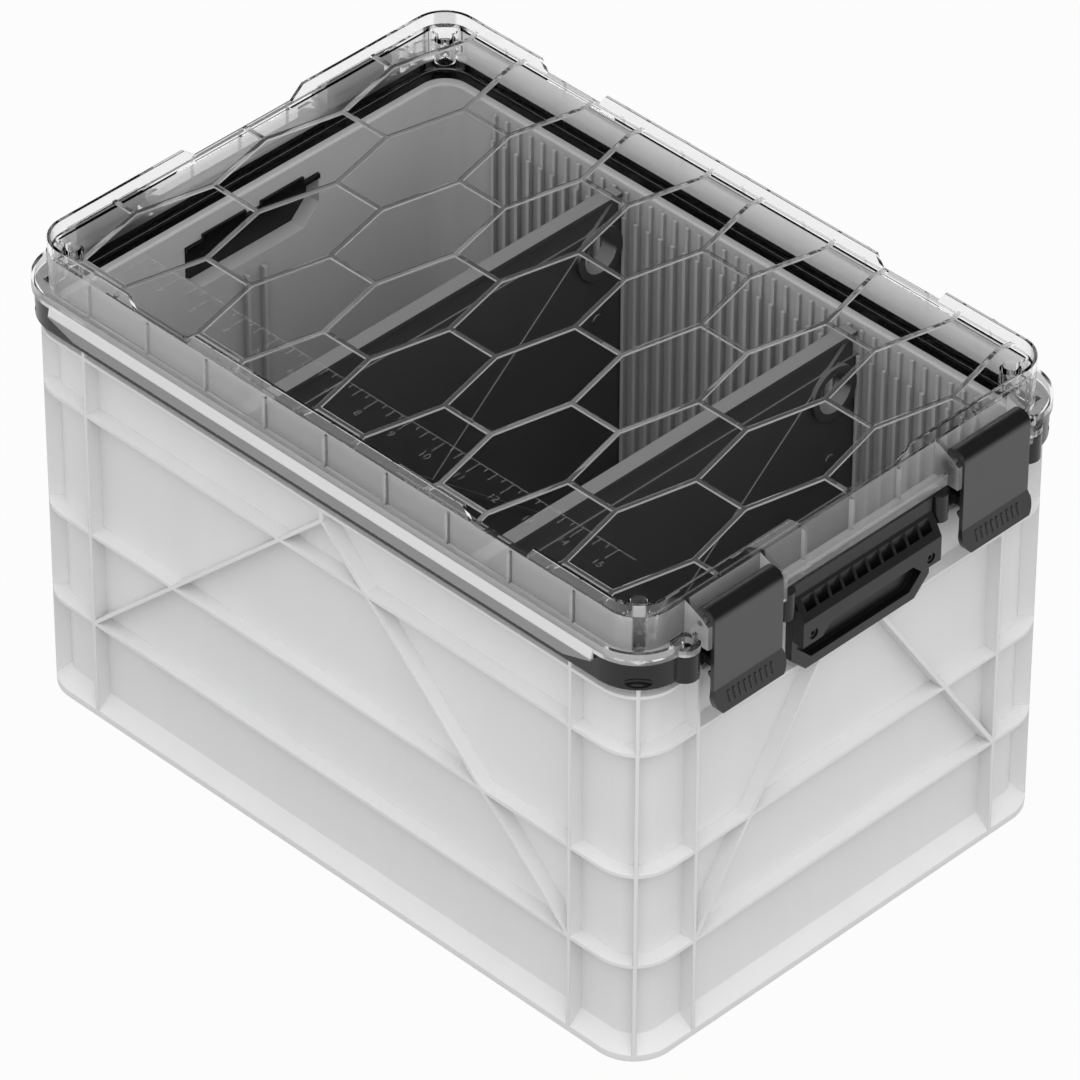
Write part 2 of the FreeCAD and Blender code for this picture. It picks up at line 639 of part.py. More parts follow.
def hexagon_cells(level):
    """The cells between the lid's hexagon ribs, from the lattice's formula."""
    run, rise = sheet.hex_run, sheet.hex_rise
    half_flat, half_rib = sheet.hex_flat / HALF, sheet.hex_rib / HALF
    slant = math.hypot(run - half_flat * HALF, rise)
    tip = run - half_flat - half_rib * slant / rise
    flat = half_flat - half_rib * (slant - (run - half_flat * HALF)) / rise
    shoulder = rise - half_rib
    hexagon = [(tip, 0), (flat, shoulder), (-flat, shoulder)]
    hexagon += [(-a, -b) for a, b in hexagon]
    columns = math.ceil(half_length.value / run)
    rows = math.ceil(half_width.value / rise)
    cells = []
    for column in range(-columns, columns + 1):
        for row in range(-rows, rows + 1):
            if (column + row) % HALF:
                continue
            x, y = column * run, row * rise
            corners = [Vector(x + a, y + b, 0) for a, b in hexagon]
            face = Part.Face(Part.makePolygon(corners + corners[:1]))
            cells.append(face.extrude(ALONG_Z * (sheet.hex_height + sheet.overrun)))
    obj = doc.addObject("Part::Feature", "lid_hexagon_cells")
    obj.Shape = Part.makeCompound(cells)
    place(obj, (zero, zero, level))
    return obj


def build_lid():
    """The clear lid with its skirt, flange, lips, ribs, bosses and ears."""
    skirt, inside = -s.lid_inset, -(s.lid_inset + s.lid_wall)
    strip_top = flange_level + s.strip_height
    flange_top = flange_level + s.flange_wall
    stack_top = lid_top + s.stack_height
    parts = [slab("lid_skirt", skirt, skirt_foot, lid_top),
             cut("lid_flange", slab("lid_flange_plate", s.strip_reach, flange_level, strip_top),
                 [slab("lid_gutter", s.strip_reach - s.strip_wall, flange_top, strip_top + s.overrun)])]

    # Long side lips, with sloping lower corners, and the sloping web that ties them to the flange
    foot, head = flange_level - s.lip_drop, flange_level - s.lip_head_drop
    long, run = half_length - s.lip_end, s.lip_chamfer
    face = [(-long, head), (-long, head - s.lip_corner), (-long + run, foot),
            (long - run, foot), (long, head - s.lip_corner), (long, head)]
    near = half_width + s.frame_reach + s.lip_gap
    far = near + s.lip_wall
    tie_far, tie_top = half_width + s.strip_reach, flange_level + s.lip_slope
    tie_near = tie_far - s.strip_wall
    tie = [(far, head), (tie_far, tie_top), (tie_near, tie_top), (tie_near, flange_level),
           (near, flange_level), (near, head)]
    parts += [prism("lid_lip_left", "XZ", face, -far, -near), prism("lid_lip_right", "XZ", face, near, far)]
    left_tie = prism("lid_tie", "YZ", tie, -long, long)
    parts += [left_tie, mirrored("lid_tie_mirrored", left_tie, ALONG_Y)]

    # Stacking lip, with its gaps on the long sides and its sloping steps on the short sides
    wall = cut("lid_stack_wall", slab("lid_stack_outside", skirt, lid_top, stack_top),
               [slab("lid_stack_inside", skirt - s.stack_wall, lid_top, stack_top + s.overrun)])
    step, slope = s.stack_step, s.stack_slope
    past_end, past_side = half_length + s.overrun, half_width + s.overrun
    wide, over_top = step + slope, stack_top + s.overrun
    low_end = [(-step, lid_top), (step, lid_top), (wide, stack_top), (wide, over_top),
               (-wide, over_top), (-wide, stack_top)]
    gaps = [prism("lid_stack_step", "YZ", low_end, -past_end, past_end)]
    for side in (-1, 1):
        ends = sorted((s.stack_inner * side, s.stack_outer * side), key=lambda d: d.value)
        ramp = s.stack_ramp
        gap = [(ends[0] + ramp, lid_top), (ends[1] - ramp, lid_top), (ends[1], stack_top),
               (ends[1], over_top), (ends[0], over_top), (ends[0], stack_top)]
        gaps.append(prism("lid_stack_gap", "XZ", gap, -past_side, past_side))
    parts.append(cut("lid_stack", wall, gaps))

    # Hexagon ribs on the top
    plate = slab("lid_rib_plate", skirt - s.stack_wall, lid_top, lid_top + s.hex_height)
    parts.append(cut("lid_hexagons", plate, [hexagon_cells(lid_top)]))

    # Upright ribs down the skirt's long sides
    stay_z = (flange_level, lid_top - s.stay_drop)
    for number in range(-STAY_REACH_COUNT, STAY_REACH_COUNT + 1):
        x, half = s.hex_run * number, s.stay_wall / HALF
        reach = half_width - s.lid_inset + s.stay_reach
        parts.append(box("lid_stay", (x - half, x + half), (-reach, reach), stay_z))
    for side in (-1, 0, 1):
        y, half = s.stack_step * side, s.stay_wall / HALF
        reach = half_length - s.lid_inset + s.stay_reach
        parts.append(box("lid_end_stay", (-reach, reach), (y - half, y + half), stay_z))

    # Latch ears and padlock eyes at one corner, then at all four
    skirt_x = half_length - s.lid_inset
    middle, root = -latch_place, skirt_x - s.lid_wall
    ears = []
    for hook in (front_hook, rear_hook):
        head = hook.pin_z + s.ear_rise
        side_face = [(root, head), (skirt_x, head), (hook.pin_x, hook.pin_z + s.ear_crown),
                     (hook.ear_x, hook.pin_z), (hook.ear_x, flange_level), (root, flange_level)]
        ears.append(fuse("lid_ears", [
            prism("lid_ear_outer", "XZ", side_face, middle - ear_far, middle - ear_out),
            prism("lid_ear_inner", "XZ", side_face, middle + ear_out, middle + ear_far)]))
    eye_x, eye_y = half_length + s.eye_reach, -(latch_place + ear_far + s.eye_side)
    eye_z = (flange_level, flange_level + s.eye_wall)
    eye_root = (eye_y - s.eye_radius, middle - ear_out)
    eye = fuse("lid_eye", [
        cylinder("lid_eye_round", ALONG_Z, (eye_x, eye_y, flange_level), s.eye_radius, s.eye_wall),
        box("lid_eye_root", (half_length, eye_x), eye_root, eye_z)])
    corner_x, corner_y = half_length - s.boss_inset, -(half_width - s.boss_inset)
    boss_foot = lid_top - s.boss_drop
    boss = cylinder("lid_boss_round", ALONG_Z, (corner_x, corner_y, boss_foot), s.boss_radius, s.boss_drop)
    half = s.gusset_wall / HALF
    drop = (boss_foot, lid_top)
    end_x, side_y = (corner_x, half_length + inside), (-half_width - inside, corner_y)
    gussets = [box("lid_gusset_end", end_x, (corner_y - half, corner_y + half), drop),
               box("lid_gusset_side", (corner_x - half, corner_x + half), side_y, drop)]
    inner = fuse("lid_boss", [boss] + gussets)
    parts += corners("lid_ears", ears[0], ears[1]) + four("lid_eye", eye)
    solid = fuse("lid_outside", parts)
    under = flange_level - s.overrun
    room = slab("lid_inside", inside, skirt_foot - s.overrun, lid_top - s.lid_wall)
    hollow = cut("lid_hollow", solid, [room])

    bore_base = (corner_x, corner_y, boss_foot - s.overrun)
    bore_length = s.boss_drop + s.hex_height + s.overrun * HALF
    bore = cylinder("lid_boss_bore", ALONG_Z, bore_base, s.boss_bore, bore_length)
    hole_length = s.eye_wall + s.strip_height + s.overrun
    hole = cylinder("lid_eye_hole", ALONG_Z, (eye_x, eye_y, under), s.eye_bore, hole_length)
    pin_half = ear_far + s.overrun
    notch_y, notch_z = (middle - ear_out, middle + ear_out), (under, strip_top + s.overrun)
    quarters = []
    for hook in (front_hook, rear_hook):
        pin_base = (hook.pin_x, middle - pin_half, hook.pin_z)
        pin_seat = cylinder("lid_pin_seat", ALONG_Y, pin_base, s.pin_radius, pin_half * HALF)
        notch_x = (frame_face - s.strip_wall, hook.ear_x + s.overrun)
        notch = box("lid_latch_room", notch_x, notch_y, notch_z)
        quarters.append(fuse("lid_holes", [bore, hole, pin_seat, notch]))
    solid = fuse("lid_solid", [hollow] + four("lid_boss", inner))
    return cut("lid", solid, corners("lid_holes", quarters[0], quarters[1]))


def build_latch(label, hook):
    """A latch, drawn at the front left: a round head, a plate, a flared tab and a claw."""
    foot, face, back = latch_foot, hook.face, hook.back
    tab_top = foot + s.tab_height
    half, flare = s.latch_width / HALF, s.tab_flare
    middle = -latch_place
    claw_top = frame_top - s.catch_drop - s.claw_gap
    kick = hook.kick
    head_top, head_foot = hook.pin_z + hook.radius, hook.pin_z - hook.radius
    head_back = hook.pin_x - hook.radius
    turn = hook.radius - s.barrel_flat
    profile = [(head_back, head_foot, turn), (head_back, head_top, turn), (face, head_top, turn),
               (face, tab_top), (face + kick, foot + s.latch_wall),
               (face + kick - s.latch_wall, foot), (back + kick / HALF, foot),
               (back, tab_top), (back, claw_top - s.claw_height),
               (hook.claw_x, claw_top - s.claw_height / HALF), (hook.claw_x, claw_top),
               (back, claw_top), (back, head_foot)]
    wide = half + flare
    plate = prism("latch_profile", "XZ", profile, middle - wide, middle + wide)
    past_head, tab_middle = head_top + s.overrun, tab_top - s.flare_drop
    front = [(middle - half, past_head), (middle - half, tab_top), (middle - wide, tab_middle),
             (middle - wide, foot, s.tab_round), (middle + wide, foot, s.tab_round),
             (middle + wide, tab_middle), (middle + half, tab_top), (middle + half, past_head)]
    trim = prism("latch_front", "YZ", front, head_back - s.overrun, face + kick + s.overrun)
    bore_base, bore_radius = (hook.pin_x, middle - wide, hook.pin_z), s.pin_radius + s.pin_gap
    bore = cylinder("latch_bore", ALONG_Y, bore_base, bore_radius, wide * HALF)
    return cut(label, common("latch_solid", [plate, trim]), [bore])


def build_pin(label, hook):
    """A latch's pin, from ear to ear."""
    base = (hook.pin_x, -latch_place - ear_far, hook.pin_z)
    return cylinder(label, ALONG_Y, base, s.pin_radius, ear_far * HALF)


def build_handle():
    """The front handle: its ribbed shroud, its grip loop and its two screws."""
    head, back = flange_level - s.shroud_top_gap, frame_face + s.shroud_gap
    wall_face = back + s.shroud_crown
    foot = s.crate_height - s.shroud_foot
    lip_top = foot + s.shroud_lip
    grip_back = half_length + s.shroud_gap
    grip_face = grip_back + s.grip_depth
    face = latch_face
    wide = handle_half
    side_face = [(back, head), (wall_face, head),
                 (wall_face, flange_level - s.slope_drop), (face, lip_top), (face, foot),
                 (grip_face + s.shroud_gap, foot), (grip_face + s.shroud_gap, s.crate_height),
                 (back, s.crate_height)]
    body = prism("shroud_body", "XZ", side_face, -wide, wide)
    tools = []
    pocket_x = (wall_face + s.pocket_back, face - s.pocket_front)
    pitch = ((wide - s.pocket_margin) * HALF + s.pocket_fin) / POCKET_COUNT
    half = (pitch - s.pocket_fin) / HALF
    pocket_z = (foot + s.pocket_floor, head + s.overrun)
    for number in range(POCKET_COUNT):
        y = pitch * (number - (POCKET_COUNT - 1) / HALF)
        tools.append(box("shroud_pocket", pocket_x, (y - half, y + half), pocket_z))
    relief, rise = wide - s.relief_margin, s.relief_height
    bite = [(-relief, foot - s.overrun), (-relief, foot), (-relief + rise, foot + rise),
            (relief - rise, foot + rise), (relief, foot), (relief, foot - s.overrun)]
    tools.append(prism("shroud_relief", "YZ", bite, half_length, face + s.overrun))
    screw_z = foot + s.screw_lift
    head_x = face - s.screw_sink - s.screw_head_depth
    screws, shank_holes = [], []
    for side in (-1, 1):
        y = (wide - s.screw_margin) * side
        under_head, start = (head_x, y, screw_z), (half_length, y, screw_z)
        tip = (head_x - s.screw_length, y, screw_z)
        hole_radius = s.screw_shank + s.screw_gap
        seat_radius, seat_depth = s.screw_head + s.screw_gap, s.screw_head_depth + s.screw_sink + s.overrun
        tools.append(cylinder("shroud_screw_seat", ALONG_X, under_head, seat_radius, seat_depth))
        tools.append(cylinder("shroud_screw_hole", ALONG_X, start, hole_radius, s.latch_reach))
        shank = cylinder("screw_shank", ALONG_X, tip, s.screw_shank, s.screw_length)
        knob = cylinder("screw_knob", ALONG_X, under_head, s.screw_head, s.screw_head_depth)
        socket_base = (head_x + s.screw_head_depth / HALF, y, screw_z)
        socket = cylinder("screw_socket", ALONG_X, socket_base, s.socket_radius, s.screw_head_depth)
        screws.append(cut("screw", fuse("screw_solid", [shank, knob]), [socket]))
        shank_holes.append(cylinder("grip_screw_hole", ALONG_X, tip, s.screw_shank, s.screw_length))
    shroud = cut("handle_shroud_front", body, tools)

    grip_foot = s.crate_height - s.grip_foot
    chamfer, bar, side = s.grip_chamfer, s.grip_bar, s.grip_side
    grip_top = s.crate_height - s.shroud_gap
    ring = [(-wide, grip_top), (-wide, grip_foot + chamfer), (-wide + chamfer, grip_foot),
            (wide - chamfer, grip_foot), (wide, grip_foot + chamfer), (wide, grip_top)]
    slot_foot, shoulder = grip_foot + bar, s.crate_height - s.grip_shoulder
    near, rim = wide - side, wide - s.grip_rim
    eye = [(-near, hole_top), (-near, shoulder), (-rim, shoulder), (-rim, slot_foot + chamfer),
           (-rim + chamfer, slot_foot), (rim - chamfer, slot_foot), (rim, slot_foot + chamfer),
           (rim, shoulder), (near, shoulder), (near, hole_top)]
    loop = cut("grip_loop", prism("grip_ring", "YZ", ring, grip_back, grip_face),
               [prism("grip_eye", "YZ", eye, half_length - s.overrun, grip_face + s.overrun)])
    bridge_top = hole_top - s.shroud_gap
    bridge_wide = hole_half - s.shroud_gap
    clip_back = inner_x - s.shroud_gap
    parts = [loop, box("grip_bridge", (clip_back - s.clip_wall, grip_face), (-bridge_wide, bridge_wide),
                       (bridge_top - s.grip_bridge, bridge_top))]
    clip_z = (bridge_top - s.grip_bridge, bridge_top - s.grip_bridge + s.clip_rise)
    plate = hand_outline(-s.shroud_gap)
    parts.append(prism("grip_back", "YZ", plate, grip_back - s.grip_back, grip_back))
    for hand in (-1, 1):
        y, half = wide * clip_place_share * hand, wide * clip_width_share
        parts.append(box("grip_clip", (clip_back - s.clip_wall, clip_back), (y - half, y + half), clip_z))
    grip = cut("handle_grip_front", fuse("grip_solid", parts), shank_holes)
    return shroud, grip, fuse("handle_screws_front", screws)


def build_divider(label, slot_count):
    """A divider so many slots forward of the middle: panel, top edge, crossed ribs, finger ring and stud."""
    centre = comb_pitch * slot_count
    half = s.divider_wall / HALF
    foot, head = s.floor_wall, s.crate_height - s.divider_head
    side = comb_face - s.divider_gap
    end = inner_y - s.divider_gap
    half_edge, half_tab = s.divider_edge / HALF, (comb_pitch - s.comb_rib) / HALF - s.tab_gap
    web = half + s.web_depth
    low, high, lean = s.web_foot, head - s.divider_edge_wall, s.web_width / HALF
    tab_z = (s.comb_foot, head - s.comb_head)
    parts = [box("divider_panel", (centre - half, centre + half), (-side, side), (foot, head)),
             box("divider_edge", (centre - half_edge, centre + half_edge), (-side, side), (high, head)),
             box("divider_ends", (centre - half_tab, centre + half_tab), (-end, end), tab_z)]
    for hand in (-1, 1):
        bar = [((-side + lean) * hand - lean, low), ((-side + lean) * hand + lean, low),
               ((side - lean) * hand + lean, high), ((side - lean) * hand - lean, high)]
        parts.append(prism("divider_web", "YZ", bar, centre - web, centre + web))
    ring_y, ring_z = half_width - s.ring_inset, head - s.ring_drop
    ring_depth = half + s.ring_depth
    ring_base, ring_radius = (centre - ring_depth, ring_y, ring_z), s.ring_bore + s.ring_wall
    parts.append(cylinder("divider_ring", ALONG_X, ring_base, ring_radius, ring_depth * HALF))
    stud_base = (centre - web, ring_y, head - s.stud_drop)
    parts.append(cylinder("divider_stud", ALONG_X, stud_base, s.stud_radius, web * HALF))
    bore_half = ring_depth + s.overrun
    bore_base = (centre - bore_half, ring_y, ring_z)
    hole = cylinder("divider_hole", ALONG_X, bore_base, s.ring_bore, bore_half * HALF)
    return cut(label, fuse("divider_solid", parts), [hole])


def build_nodes():
    """Builds every sub-part and returns them by node name."""
    nodes = [build_crate(), build_frame(), build_gasket(), build_lid()]
    for stem, build in (("latch_", build_latch), ("latch_pin_", build_pin)):
        front = build(stem + "front_left", front_hook)
        rear = mirrored(stem + "rear_left", build(stem + "rear_drawn", rear_hook), ALONG_X)
        nodes += [front, mirrored(stem + "front_right", front, ALONG_Y)]
        nodes += [rear, mirrored(stem + "rear_right", rear, ALONG_Y)]
    for piece in build_handle():
        nodes += [piece, mirrored(piece.Label[:-len("front")] + "rear", piece, ALONG_X)]
    front = build_divider("divider_front", FRONT_SLOT_COUNT)
    rear = mirrored("divider_rear", build_divider("divider_drawn", REAR_SLOT_COUNT), ALONG_X)
    nodes += [front, rear]
    return nodes


def export(nodes):
    """Checks every object, then writes one STEP file for each node."""
    doc.recompute()
    for obj in doc.Objects:
        if "Invalid" in obj.State or "Error" in obj.State:
            raise RuntimeError("%s: %s" % (obj.Label, obj.State))
    for node in nodes:
        if node.Shape.isNull() or not node.Shape.isValid():
            raise RuntimeError("%s has no valid shape" % node.Label)
    os.makedirs("parts", exist_ok=True)
    for node in nodes:
        node.Shape.exportStep("parts/%s.step" % node.Label)


export(build_nodes())
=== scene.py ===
"""Looks of the storage crate: finishes, lid ruler, latch grips, studio and camera.

All lengths are metres in the part's own frame: X along the crate, Y across it, Z up from its base.
"""
import logging
import math
from dataclasses import dataclass
from enum import Enum
from typing import Any, Iterable, Optional, Sequence

import bpy
from mathutils import Matrix, Vector


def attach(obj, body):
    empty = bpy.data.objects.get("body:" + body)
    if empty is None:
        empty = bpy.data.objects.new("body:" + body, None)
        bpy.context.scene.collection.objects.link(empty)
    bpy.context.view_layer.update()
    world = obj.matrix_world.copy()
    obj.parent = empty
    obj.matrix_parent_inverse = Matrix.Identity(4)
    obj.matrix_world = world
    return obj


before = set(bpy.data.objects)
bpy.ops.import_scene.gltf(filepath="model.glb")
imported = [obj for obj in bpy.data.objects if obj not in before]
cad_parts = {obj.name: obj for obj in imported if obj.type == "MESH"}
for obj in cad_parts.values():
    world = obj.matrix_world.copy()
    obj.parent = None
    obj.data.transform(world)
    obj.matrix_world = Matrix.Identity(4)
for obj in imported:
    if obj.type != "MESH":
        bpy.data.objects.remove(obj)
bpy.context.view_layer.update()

MM = 0.001
LID_TOP = 300.0 * MM
log = logging.getLogger("storage_crate")

Triple = tuple[float, float, float]
Colour = Triple
Band = tuple[float, float]

WHITE = (1.0, 1.0, 1.0)
NOISE_MIDDLE = 0.5
NOISE_ROUGHNESS = 0.55
EDGE_BAND = (0.0, 0.25)


class End(Enum):
    """The crate's two short ends and the way each one faces along X."""

    FRONT = 1
    REAR = -1


class Side(Enum):
    """The crate's two long sides and the way each one faces along Y."""

    LEFT = -1
    RIGHT = 1


def opaque(colour: Colour) -> tuple[float, float, float, float]:
    """Returns a colour with full alpha."""
    return colour + (1.0,)


def toned(colour: Colour, factor: float) -> Colour:
    """Returns a colour made darker or lighter by a factor."""
    return tuple(c * factor for c in colour)


class Value:
    """A shader socket that takes part in Python arithmetic."""

    def __init__(self, shop: "Shop", socket: bpy.types.NodeSocket) -> None:
        """Keeps the socket and the shop that adds nodes for it."""
        self.shop = shop
        self.socket = socket

    def _math(self, operation: str, first: Any, second: Any) -> "Value":
        """Adds one Math node.

        Args:
            operation: the node's operation.
            first: the first value.
            second: the second value.

        Returns:
            The node's result.
        """
        sockets = {0: first, 1: second}
        return self.shop.node("ShaderNodeMath", {"operation": operation}, sockets).out()

    def __add__(self, other: Any) -> "Value":
        """Returns self + other."""
        return self._math("ADD", self, other)

    def __sub__(self, other: Any) -> "Value":
        """Returns self - other."""
        return self._math("SUBTRACT", self, other)

    def __rsub__(self, other: Any) -> "Value":
        """Returns other - self."""
        return self._math("SUBTRACT", other, self)

    def __mul__(self, other: Any) -> "Value":
        """Returns self * other."""
        return self._math("MULTIPLY", self, other)

    def __abs__(self) -> "Value":
        """Returns the value without its sign."""
        return self._math("ABSOLUTE", self, 0.0)

    __radd__ = __add__
    __rmul__ = __mul__

    def larger(self, other: Any) -> "Value":
        """Returns the larger of self and other."""
        return self._math("MAXIMUM", self, other)

    def smaller(self, other: Any) -> "Value":
        """Returns the smaller of self and other."""
        return self._math("MINIMUM", self, other)

    def rising(self, low: float, high: float) -> "Value":
        """Steps smoothly from 0 to 1.

        Args:
            low: where the step starts.
            high: where it ends.

        Returns:
            0 below low, 1 above high.
        """
        settings = {"interpolation_type": "SMOOTHSTEP"}
        sockets = {"Value": self, "From Min": low, "From Max": high}
        return self.shop.node("ShaderNodeMapRange", settings, sockets).out()

    def centred(self) -> "Value":
        """Returns how far a noise is above its middle."""
        return self - NOISE_MIDDLE

    def between(self, low: float, high: float, soft: float) -> "Value":
        """Returns 1 from low to high and 0 outside, with soft ends."""
        return self.rising(low - soft, low + soft) * (1 - self.rising(high - soft, high + soft))


class Made:
    """A node that has just been added, with easy access to its outputs."""

    def __init__(self, shop: "Shop", node: bpy.types.Node) -> None:
        """Keeps the node and its shop."""
        self.shop = shop
        self.node = node

    def out(self, name: Optional[str] = None) -> Value:
        """Returns one output, the first by default."""
        enabled = (o for o in self.node.outputs if o.enabled)
        return Value(self.shop, next(o for o in enabled if name in (None, o.name)))


class Shop:
    """Adds nodes to one node tree."""

    def __init__(self, tree: bpy.types.NodeTree) -> None:
        """Clears the tree."""
        self.tree = tree
        tree.nodes.clear()

    def node(self, kind: str, settings: dict[str, Any], sockets: dict[Any, Any]) -> Made:
        """Adds a node, sets it up and feeds its sockets.

        Args:
            kind: the node's type.
            settings: attributes of the node, set before its sockets.
            sockets: values or links by the socket's name or index.

        Returns:
            The node.
        """
        node = self.tree.nodes.new(kind)
        for name, value in settings.items():
            setattr(node, name, value)
        for key, value in sockets.items():
            if isinstance(key, int):
                socket = node.inputs[key]
            else:
                socket = next(i for i in node.inputs if i.name == key and i.enabled)
            if isinstance(value, Made):
                value = value.out()
            if isinstance(value, Value):
                self.tree.links.new(value.socket, socket)
            else:
                socket.default_value = value
        return Made(self, node)

    def place(self) -> tuple[Made, Value, Value, Value]:
        """Adds the object coordinates.

        Returns:
            Their node, then x, y and z.
        """
        where = self.node("ShaderNodeTexCoord", {}, {})
        parts = self.node("ShaderNodeSeparateXYZ", {}, {0: where.out("Object")})
        return where, parts.out("X"), parts.out("Y"), parts.out("Z")

    def facing(self) -> Made:
        """Returns the node that tells how a surface faces."""
        return self.node("ShaderNodeNewGeometry", {}, {})

    def noise(self, where: Made, scale: float, detail: float = 2.0,
              stretch: Triple = (1.0, 1.0, 1.0)) -> Value:
        """Adds a noise on object coordinates.

        Args:
            where: the coordinates' node.
            scale: blotches to the metre.
            detail: octaves.
            stretch: scale along each axis, for streaks.

        Returns:
            The noise, about 0 to 1.
        """
        point = self.node("ShaderNodeMapping", {}, {"Vector": where.out("Object"), "Scale": stretch})
        sockets = {"Vector": point, "Scale": scale, "Detail": detail, "Roughness": NOISE_ROUGHNESS}
        return self.node("ShaderNodeTexNoise", {}, sockets).out()

    def blend(self, share: Any, first: Any, second: Any) -> Value:
        """Mixes two colours.

        Args:
            share: how much of the second colour shows.
            first: the first colour.
            second: the second colour.

        Returns:
            The mixed colour.
        """
        four = [opaque(c) if isinstance(c, tuple) else c for c in (first, second)]
        sockets = {"Factor": share, "A": four[0], "B": four[1]}
        return self.node("ShaderNodeMix", {"data_type": "RGBA"}, sockets).out("Result")

    def mix(self, share: Any, first: Made, second: Made) -> Made:
        """Returns a shader mixed from two shaders by share."""
        return self.node("ShaderNodeMixShader", {}, {0: share, 1: first, 2: second})

    def rounding(self, radius: float) -> tuple[Value, Value]:
        """Softens edges.

        Args:
            radius: how far the softening reaches.

        Returns:
            A normal that rounds the edges, and a mask of those edges.
        """
        soft = self.node("ShaderNodeBevel", {"samples": 4}, {"Radius": radius}).out()
        sockets = {0: soft, 1: self.facing().out("Normal")}
        dot = self.node("ShaderNodeVectorMath", {"operation": "DOT_PRODUCT"}, sockets).out("Value")
        return soft, (1 - dot).rising(*EDGE_BAND)

    def bump(self, height: Any, strength: float, depth: float, normal: Any) -> Made:
        """Returns a bumped normal."""
        sockets = {"Height": height, "Strength": strength, "Distance": depth, "Normal": normal}
        return self.node("ShaderNodeBump", {}, sockets)

    def principled(self, sockets: dict[str, Any]) -> Made:
        """Returns a Principled shader."""
        return self.node("ShaderNodeBsdfPrincipled", {}, sockets)

    def surface(self, shader: Made) -> None:
        """Makes shader the tree's surface."""
        self.node("ShaderNodeOutputMaterial", {}, {"Surface": shader})


class Finish:
    """What every finish can do: make its material and dress objects with it."""

    name: str

    def make(self, shop: Shop) -> None:
        """Builds the finish's nodes."""
        raise NotImplementedError

    def material(self) -> bpy.types.Material:
        """Makes the finish's material on first use.

        Returns:
            The material.
        """
        found = bpy.data.materials.get("finish_" + self.name)
        if found is None:
            found = bpy.data.materials.new("finish_" + self.name)
            found.use_nodes = True
            self.make(Shop(found.node_tree))
        return found

    def dress(self, piece: bpy.types.Object) -> None:
        """Puts the material on every slot of a piece.

        Args:
            piece: the piece to dress.
        """
        slots = piece.data.materials
        if not slots:
            slots.append(None)
        for index in range(len(slots)):
            slots[index] = self.material()


